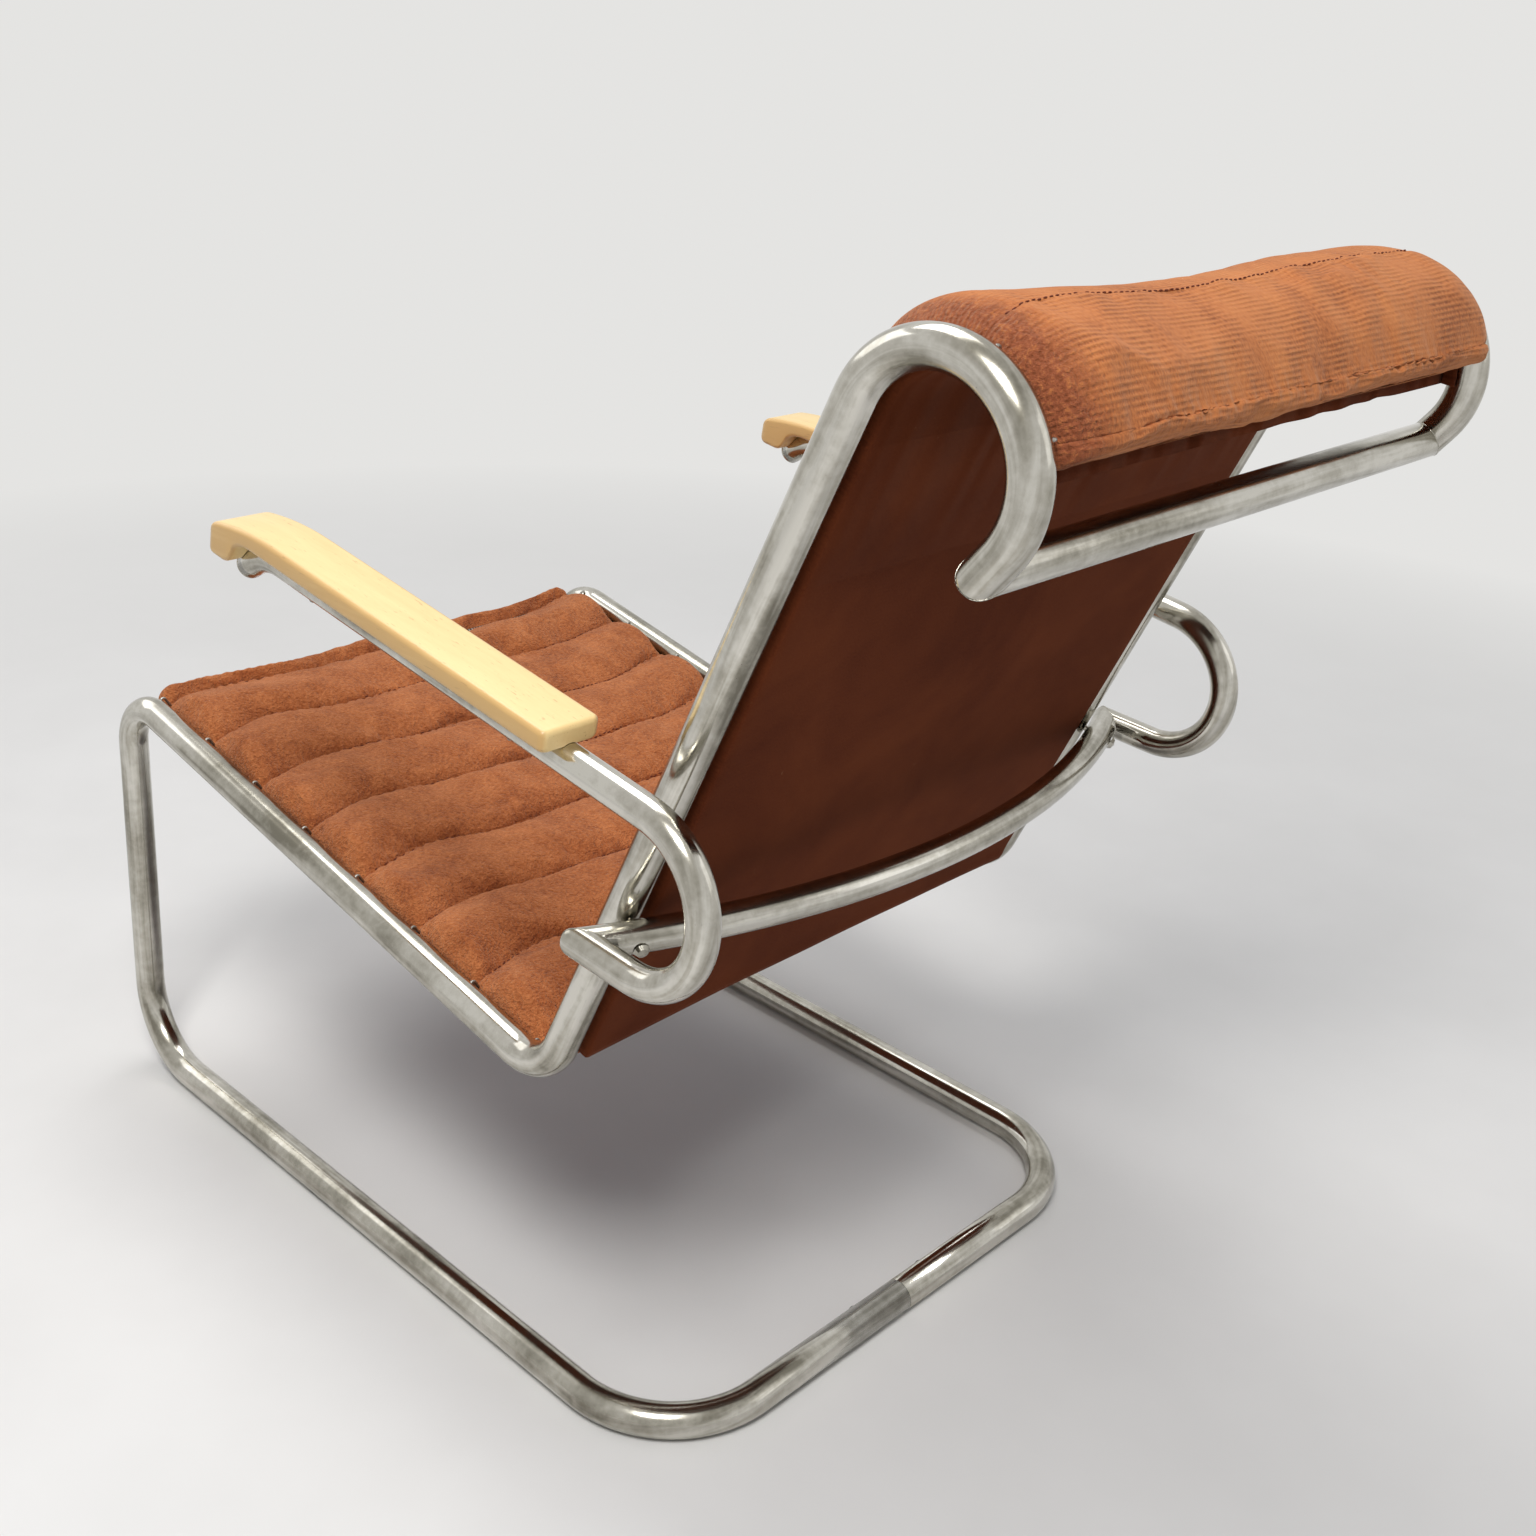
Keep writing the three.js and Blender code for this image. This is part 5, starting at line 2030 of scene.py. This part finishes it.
@dataclass
class Upholstery:
    """The seat pad, the back pad, the headrest roll, and the cloths behind them."""

    profile: SideProfile
    pitch: float = 74 * MM
    base: float = -1 * MM
    seat_start: float = 13 * MM
    seat_end: float = 575 * MM
    back_start: float = 23 * MM
    back_end: float = 572 * MM
    first_seat_seam: float = 38 * MM
    first_back_seam: float = 64 * MM
    half_width: float = 235.5 * MM
    spring_depth: float = 6 * MM
    headrest_seams: tuple = (79.0, 18.5)
    headrest_end: float = 6.0
    headrest_springs: tuple = (115, 68, 21)
    hook_rise: float = 55.0
    cloth_half: float = 237 * MM
    cloth_depth: float = -13.8 * MM
    cloth_thickness: float = 2.6 * MM
    cloth_edge: float = -2.5 * MM
    rear_cloth_start: float = 29 * MM
    rear_cloth_end: float = -7.0
    seat_cloth_start: float = 20 * MM
    seat_cloth_end: float = 556 * MM
    cloth_turn: float = 2.5 * MM
    cloth_slack: float = 1.2 * MM
    cloth_unrest: float = 0.7 * MM
    hem_bow: float = 4 * MM
    hem_step: float = 0.8 * MM
    hem_width: float = 6 * MM
    hem_fade: float = 5 * MM
    pull_depth: float = 2.6 * MM
    pull_start: float = 400 * MM
    pull_run: float = 180 * MM
    under_sag: float = 1.5 * MM
    under_unrest: float = 0.6 * MM
    pulls: tuple = ((-0.62, 0.05, 1.0), (-0.48, 0.06, 0.8), (-0.30, 0.05, 0.9), (-0.10, 0.07, 0.5),
                    (0.22, 0.08, 0.35), (0.55, 0.07, 0.4))
    coil_radius: float = 3.6 * MM
    coil_pitch: float = 3.4 * MM
    coil_wire: float = 1.1 * MM
    coil_inset: float = 16 * MM
    wire_radius: float = 1.2 * MM
    wire_inset: float = 17 * MM
    wire_stub: float = 5 * MM
    wire_bend: float = 6 * MM
    wire_leg: float = 14 * MM
    wire_tip_bend: float = 2.5 * MM
    wire_tip_turn: float = 100.0
    wire_tip: float = 1 * MM
    stitch_spacing: float = 5.5 * MM
    stitch_length: float = 3.6 * MM
    stitch_radius: float = 0.55 * MM

    def seams(self, first: float, end: float) -> list:
        """Seams at an even pitch from the first to the pad's end."""
        count = math.floor((end - self.pitch / 4 - first) / self.pitch) + 1
        return [first + self.pitch * number for number in range(count)]

    def seat_pad(self) -> Pad:
        """The seat's pad, which rolls down in front of its first spring.

        Returns:
            The pad's sizes.
        """
        p = self.profile
        return Pad(
            "seat_cushion", p.seat_place, self.seams(self.first_seat_seam, self.seat_end),
            self.seat_start, self.seat_end, self.half_width, self.base, crest=20.5 * MM, seam_height=3.5 * MM,
            seed=3, start_round=14 * MM, start_drop=8 * MM, drop_run=70 * MM, draw_in=2 * MM,
            puckers=1.3 * MM, folds=1.7 * MM, lumps=1.8 * MM,
        )

    def back_pad(self) -> Pad:
        """The back's pad.

        Returns:
            The pad's sizes.
        """
        p = self.profile
        return Pad(
            "back_cushion", p.upright_place, self.seams(self.first_back_seam, self.back_end),
            self.back_start, self.back_end, self.half_width, self.base, crest=19.5 * MM, seam_height=4.5 * MM,
            seed=8, seam_sway=9 * MM,
        )

    def headrest(self) -> Pad:
        """The headrest's roll over the hooks, which swells out over the far hook.

        Returns:
            The pad's sizes.
        """
        p = self.profile
        seams = [p.hook_reach(degrees) - p.upright_length for degrees in self.headrest_seams]
        end = p.hook_reach(self.headrest_end) - p.upright_length
        return Pad(
            "headrest_roll", lambda along, height, x: p.back_place(p.upright_length + along, height, x),
            seams, 0.0, end, self.half_width, self.base, crest=26 * MM, seam_height=22 * MM,
            seed=5, rows=26, end_rows=26,
            side_columns=12, side_round=38 * MM, start_round=16 * MM, end_round=13 * MM, draw_in=1 * MM,
            plan_corner=6 * MM, seam_sway=0.0, wander=2.5 * MM, bulge_power=0.42, uneven=0.9 * MM,
            puckers=0.6 * MM, folds=0.5 * MM, lumps=1.0 * MM, puff=3 * MM, far_bulge=20 * MM,
            drapes=0.7 * MM, stitched=1,
            crown=lambda across: (0.77 + 0.25 * smooth_step((across - 0.2) / 0.6)
                                  + 0.18 * smooth_step((-across - 0.05) / 0.55)),
        )

    def cloth_columns(self, count: int) -> list:
        """The columns of a cloth that is turned up along both sides.

        Args:
            count: how many columns the flat part has.

        Returns:
            For each column its distance across, height, and the direction towards the springs.
        """
        rise = self.cloth_edge - self.cloth_depth
        turn = self.cloth_turn
        flap = [(self.cloth_half, self.cloth_depth + rise * step / 6, -1.0, 0.0) for step in range(6, 1, -1)]
        flap.append((self.cloth_half - turn * 0.3, self.cloth_depth + turn * 0.3, -0.7, 0.7))
        flat_half = self.cloth_half - turn
        places = (flat_half - 2 * flat_half * step / count for step in range(count + 1))
        flat = [(place, self.cloth_depth, 0.0, 1.0) for place in places]
        other = [(-x, height, -to_x, to_z) for x, height, to_x, to_z in reversed(flap)]
        return flap + flat + other

    def cloth_shell(self, name: str, place: Place, along: list, columns: list,
                    shape: Callable[[float, float], tuple]) -> Piece:
        """A cloth with a wall, along rows of places.

        Args:
            name: the piece's name.
            place: gives a place from the distance along, the height and the distance across.
            along: where the rows lie.
            columns: the columns, as cloth_columns gives them.
            shape: gives the shift along and the lift for a row's distance and a column's distance across.

        Returns:
            The closed cloth.
        """
        outer, inner, cloth = [], [], []
        for reach in along:
            for x, height, to_x, to_z in columns:
                shift, lift = shape(reach, x)
                lift *= to_z
                outer.append(place(reach + shift, height + lift, x))
                wall = self.cloth_thickness
                inner.append(place(reach + shift, height + min(0.0, lift) + to_z * wall, x + to_x * wall))
                cloth.append((x, reach))
        count, first = len(columns), len(outer)
        faces = grid_faces(len(along), count, ring=False)
        faces += [(first + d, first + c, first + b, first + a) for a, b, c, d in faces]
        last = len(along) - 1
        rim = list(range(count - 1))
        rim += [row * count + count - 1 for row in range(last)]
        rim += [last * count + column for column in range(count - 1, 0, -1)]
        rim += [row * count for row in range(last, 0, -1)]
        for here, after in zip(rim, rim[1:] + rim[:1]):
            faces.append((here, first + here, first + after, after))
        piece = finish_mesh(name, outer + inner, faces)
        lay_cloth_map(piece, cloth + cloth)
        face_out(piece)
        return piece

    def rear_cloth(self) -> Piece:
        """The smooth cloth behind the springs, from its lower hem up and round inside the hooks.

        Returns:
            The closed cloth.
        """
        p = self.profile
        start, end = self.rear_cloth_start, p.hook_reach(self.rear_cloth_end)

        def shape(reach: float, x: float) -> tuple:
            """Gives how the cloth lies at a place.

            Args:
                reach: the row's distance along the cloth.
                x: the distance across the chair, from its middle.

            Returns:
                The shift along and the lift.
            """
            share = x / self.cloth_half
            part = (reach - start) / (end - start)
            bow = self.hem_bow * (1 - share * share) * (1 - part) ** 6
            folds = sum(deep * math.exp(-(((share - centre) / wide) ** 2)) for centre, wide, deep in self.pulls)
            near_top = smooth_step((reach - self.pull_start) / self.pull_run)
            lift = -self.pull_depth * folds * near_top
            lift -= self.cloth_slack * (1 - share * share) * math.sin(math.pi * part)
            lift += self.cloth_unrest * ripple(share * 2.2, reach * 6, 1.7)
            hem = self.hem_step * math.exp(-(((reach - start - self.hem_width) / self.hem_fade) ** 2))
            return bow, lift - hem

        rows = [start + (end - start) * row / 120 for row in range(121)]
        return self.cloth_shell("rear_cover", p.back_place, rows, self.cloth_columns(70), shape)

    def under_cloth(self) -> Piece:
        """The plain cloth under the seat's springs.

        Returns:
            The closed cloth.
        """
        start, end = self.seat_cloth_start, self.seat_cloth_end

        def shape(reach: float, x: float) -> tuple:
            """Gives how the cloth lies at a place.

            Args:
                reach: the row's distance along the cloth.
                x: the distance across the chair, from its middle.

            Returns:
                The shift along and the lift.
            """
            share = x / self.cloth_half
            sag = self.under_sag * (1 - share * share) * math.sin(math.pi * (reach - start) / (end - start))
            return 0.0, self.under_unrest * ripple(share * 2.5, reach * 7, 9.1) - sag

        rows = [start + (end - start) * row / 60 for row in range(61)]
        columns = self.cloth_columns(40)
        return self.cloth_shell("seat_under_cloth", self.profile.seat_place, rows, columns, shape)

    def springs(self, wardrobe: Wardrobe) -> None:
        """The coil springs across the seat, the back and the headrest.

        Args:
            wardrobe: the materials.
        """
        p = self.profile
        tree = GeometryTrees.coils(wardrobe.zinc)
        half = p.half_width - p.tube_radius - 0.3 * MM
        deep, seat, back = self.spring_depth, self.first_seat_seam, self.first_back_seam
        sets = {
            "seat": [p.seat_place(along, -deep, 0) for along in self.seams(seat, 576 * MM)],
            "back": [p.upright_place(along, -deep, 0) for along in self.seams(back, 574 * MM)],
            "headrest": [p.hook_place(turn, p.hook_radius - deep, 0) for turn in self.headrest_springs],
        }
        reach = 2 * (half - self.coil_inset)
        for name, centres in sets.items():
            starts = [centre - Vector((reach / 2, 0, 0)) for centre in centres]
            piece = line_mesh(f"{name}_coils", [starts])
            grow(piece, tree, Reach=reach, Radius=self.coil_radius, Wire=self.coil_wire,
                 Turns=reach / self.coil_pitch)
            nodes = [f"{name}_spring_{number + 1}" for number in range(len(centres))]
            hooks = self.spring_hooks(f"{name}_spring_hooks", centres, self.spring_normals(name), half)
            mount(piece, wardrobe.zinc, Finish.FASTENER, *nodes)
            mount(hooks, wardrobe.zinc, Finish.FASTENER)

    def spring_normals(self, name: str) -> list:
        """The direction towards the pad at each spring of a set.

        Args:
            name: the set: seat, back or headrest.

        Returns:
            A direction for each spring.
        """
        p = self.profile
        if name == "headrest":
            return [turned(Vector((0, 1, 0)), degrees) for degrees in self.headrest_springs]
        return [p.seat_normal if name == "seat" else p.upright_normal] * 8

    def spring_hooks(self, name: str, centres: list, normals: list, half: float) -> Piece:
        """The wire hooks that rise from the coils' ends and dip into the tubes.

        Args:
            name: the piece's name.
            centres: the springs' middles.
            normals: the way to the pad at each.
            half: the distance from the middle to the tubes.

        Returns:
            All the hooks as one piece.
        """
        vertices, faces = [], []
        for centre, normal in zip(centres, normals):
            for sign in (-1, 1):
                across = Vector((sign, 0, 0))
                start = Vector((sign * (half - self.wire_inset), centre.y, centre.z))
                route = TubeRoute(start, across).straight(self.wire_stub)
                route.bend(normal, self.wire_bend, self.hook_rise, 8).straight(self.wire_leg)
                down = route.heading.cross(normal.cross(across)).normalized()
                down = down if down.dot(normal) < 0 else -down
                route.bend(down, self.wire_tip_bend, self.wire_tip_turn, 10).straight(self.wire_tip)
                part = route.sweep("hook", self.wire_radius, sides=10)
                first = len(vertices)
                vertices += [vertex.co.copy() for vertex in part.data.vertices]
                faces += [tuple(first + index for index in face.vertices) for face in part.data.polygons]
                bpy.data.objects.remove(part)
        return finish_mesh(name, vertices, faces)

    def stitches(self, name: str, wardrobe: Wardrobe, pads: list) -> None:
        """The sewing thread in the seams of the pads.

        Args:
            name: the piece's name.
            wardrobe: the materials.
            pads: each pad with its finished piece.
        """
        runs = []
        for pad, piece in pads:
            runs += pad.seam_paths(piece)
        piece = line_mesh(name, runs)
        grow(piece, GeometryTrees.stitches(wardrobe.thread), Spacing=self.stitch_spacing,
             Length=self.stitch_length, Radius=self.stitch_radius)
        mount(piece, wardrobe.thread, Finish.PAD)

    def build(self, wardrobe: Wardrobe) -> None:
        """Makes all the upholstery.

        Args:
            wardrobe: the materials.
        """
        pads = []
        for pad, material, node, fill in (
            (self.seat_pad(), wardrobe.terry, "seat_pad", 0.6),
            (self.back_pad(), wardrobe.terry, "back_pad", 0.6),
            (self.headrest(), wardrobe.knit, "headrest_pad", 0.7),
        ):
            piece = pad.build()
            mount(piece, material, Finish.PAD, node)
            pads.append((pad, piece))
        self.stitches("seam_stitches", wardrobe, pads)
        rear = mount(self.rear_cloth(), wardrobe.cloth, Finish.BACK, "back_cloth")
        length = self.profile.hook_reach(self.rear_cloth_end) - self.rear_cloth_start
        under = mount(self.under_cloth(), wardrobe.cloth, Finish.BACK, "seat_cloth")
        length = self.seat_cloth_end - self.seat_cloth_start
        self.springs(wardrobe)


@dataclass
class Fasteners:
    """The screws and hidden joint pieces that the CAD already shapes."""

    def dress(self, wardrobe: Wardrobe) -> None:
        """Gives every CAD node that still shows its material.

        Args:
            wardrobe: the materials.
        """
        for name, node in frame["nodes"].items():
            slot = next(part["material_slot"] for part in frame["record"]["subparts"] if part["node"] == name)
            material = {
                Finish.TUBE.value: wardrobe.plating,
                Finish.FASTENER.value: wardrobe.zinc,
                Finish.BEECH.value: wardrobe.beech,
                Finish.PAD.value: wardrobe.terry,
                Finish.BACK.value: wardrobe.cloth,
            }[slot]
            for material_slot in node.material_slots:
                material_slot.material = material
        LOG.info("%d CAD nodes dressed", len(frame["nodes"]))


@dataclass
class Studio:
    """The floor, the lights and the camera."""

    shift: float
    floor_size: float = 60.0
    clear_radius: float = 1.0
    fade_radius: float = 2.4
    floor_colours: tuple = ((0.74, 0.725, 0.70), (0.79, 0.775, 0.75))
    floor_stops: tuple = (0.3, 0.7)
    floor_clouds: tuple = (3.0, 4.0, 0.6)
    surround: tuple = (0.78, 0.775, 0.76)
    sky: tuple = (0.86, 0.90, 1.0)
    sky_strength: float = 0.26
    lamps: tuple = (
        ("key", (1.42, 1.02, 2.65), (0.0, 0.0, 0.35), (0.95, 0.95), 60),
        ("overhead", (-0.35, -0.9, 2.9), (0, 0, 0.4), (1.5, 1.5), 34),
        ("front_fill", (0.6, -2.4, 1.9), (0, 0, 0.4), (1.8, 1.4), 10),
        ("rear_fill", (-1.6, 2.2, 1.5), (0, 0.2, 0.4), (1.4, 1.4), 3),
    )
    sensor_width: float = 36.0
    image_side: float = 1536.0
    focal_pixels: float = 1853.7
    centre_pixels: tuple = (746.1, 575.8)
    eye: tuple = (0.97970, 0.96375, 0.98722)
    forward: tuple = (-0.69125721, -0.65372024, -0.30791772)
    up: tuple = (-0.18742058, -0.24934042, 0.95010677)

    def camera(self) -> None:
        """The camera at the photograph's place, with its lens and shift."""
        data = bpy.data.cameras.new("photo_camera")
        camera = bpy.data.objects.new("photo_camera", data)
        bpy.context.scene.collection.objects.link(camera)
        data.sensor_fit = "HORIZONTAL"
        data.sensor_width = self.sensor_width
        data.lens = self.focal_pixels / self.image_side * self.sensor_width
        data.shift_x = (self.image_side / 2 - self.centre_pixels[0]) / self.image_side
        data.shift_y = (self.centre_pixels[1] - self.image_side / 2) / self.image_side
        back = -Vector(self.forward).normalized()
        up = Vector(self.up)
        up = (up - back * back.dot(up)).normalized()
        right = up.cross(back)
        turn = Matrix((right, up, back)).transposed().to_4x4()
        camera.matrix_world = Matrix.Translation(Vector(self.eye) + Vector((0, self.shift, 0))) @ turn
        bpy.context.scene.camera = camera

    def floor(self) -> None:
        """A pale floor that keeps the chair's shadow and fades into the surround."""
        half = self.floor_size / 2
        corners = [(-half, -half, 0), (half, -half, 0), (half, half, 0), (-half, half, 0)]
        piece = finish_mesh("floor", corners, [(0, 1, 2, 3)])
        make = NodeMaker.named("pale_floor", Roughness=0.8, Specular_IOR_Level=0.1)
        place = make.coordinates()
        colour = make.ramp(make.noise(place, *self.floor_clouds), self.floor_stops, *self.floor_colours)
        make.feed(make.shader.inputs["Base Color"], colour)
        far = make.node("ShaderNodeVectorMath", {0: place}, operation="LENGTH").outputs["Value"]
        faded = make.spread(far, self.clear_radius, self.fade_radius, 0.0, 1.0)
        glow = make.node("ShaderNodeEmission", {"Color": (*self.surround, 1.0), "Strength": 1.0})
        share = make.math("MULTIPLY", faded, make.seen_share())
        make.blend_out(share, make.shader.outputs["BSDF"], glow.outputs["Emission"], "Material Output")
        piece.data.materials.append(make.material)

    def world(self) -> None:
        """A plain pale surround with even, soft light."""
        world = bpy.data.worlds.new("surround")
        world.use_nodes = True
        bpy.context.scene.world = world
        make = NodeMaker(world.node_tree)
        light = make.tree.nodes["Background"]
        light.inputs["Color"].default_value = (*self.sky, 1.0)
        light.inputs["Strength"].default_value = self.sky_strength
        seen = make.node("ShaderNodeBackground", {"Color": (*self.surround, 1.0), "Strength": 1.0})
        shaders = light.outputs["Background"], seen.outputs["Background"]
        make.blend_out(make.seen_share(), *shaders, "World Output")

    def lamp(self, name: str, place: tuple, aim: tuple, size: tuple, power: float) -> None:
        """One soft rectangular lamp.

        Args:
            name: the lamp's name.
            place: where it hangs.
            aim: what it points at.
            size: its width and height.
            power: its power in watts.
        """
        data = bpy.data.lights.new(name, "AREA")
        data.shape = "RECTANGLE"
        data.size, data.size_y = size
        data.energy = power
        lamp = bpy.data.objects.new(name, data)
        bpy.context.scene.collection.objects.link(lamp)
        lamp.location = place
        lamp.rotation_euler = (Vector(aim) - Vector(place)).to_track_quat("-Z", "Y").to_euler()

    def build(self) -> None:
        """Sets up the whole studio."""
        self.camera()
        self.floor()
        self.world()
        for lamp in self.lamps:
            self.lamp(*lamp)
        bpy.context.scene.view_settings.view_transform = "Standard"


def main() -> None:
    """Builds the chair and its studio in order."""
    logging.basicConfig(level=logging.INFO, format="%(name)s: %(message)s")
    profile = SideProfile()
    Studio(profile.shift).build()
    wardrobe = Wardrobe.build()
    Fasteners().dress(wardrobe)
    tubes = FrameTubes(profile)
    tubes.build(wardrobe)
    arms = ArmTubes(profile, tubes)
    arms.build(wardrobe)
    Armrests(arms).build(wardrobe)
    Upholstery(profile).build(wardrobe)


if __name__ == "__main__":
    main()
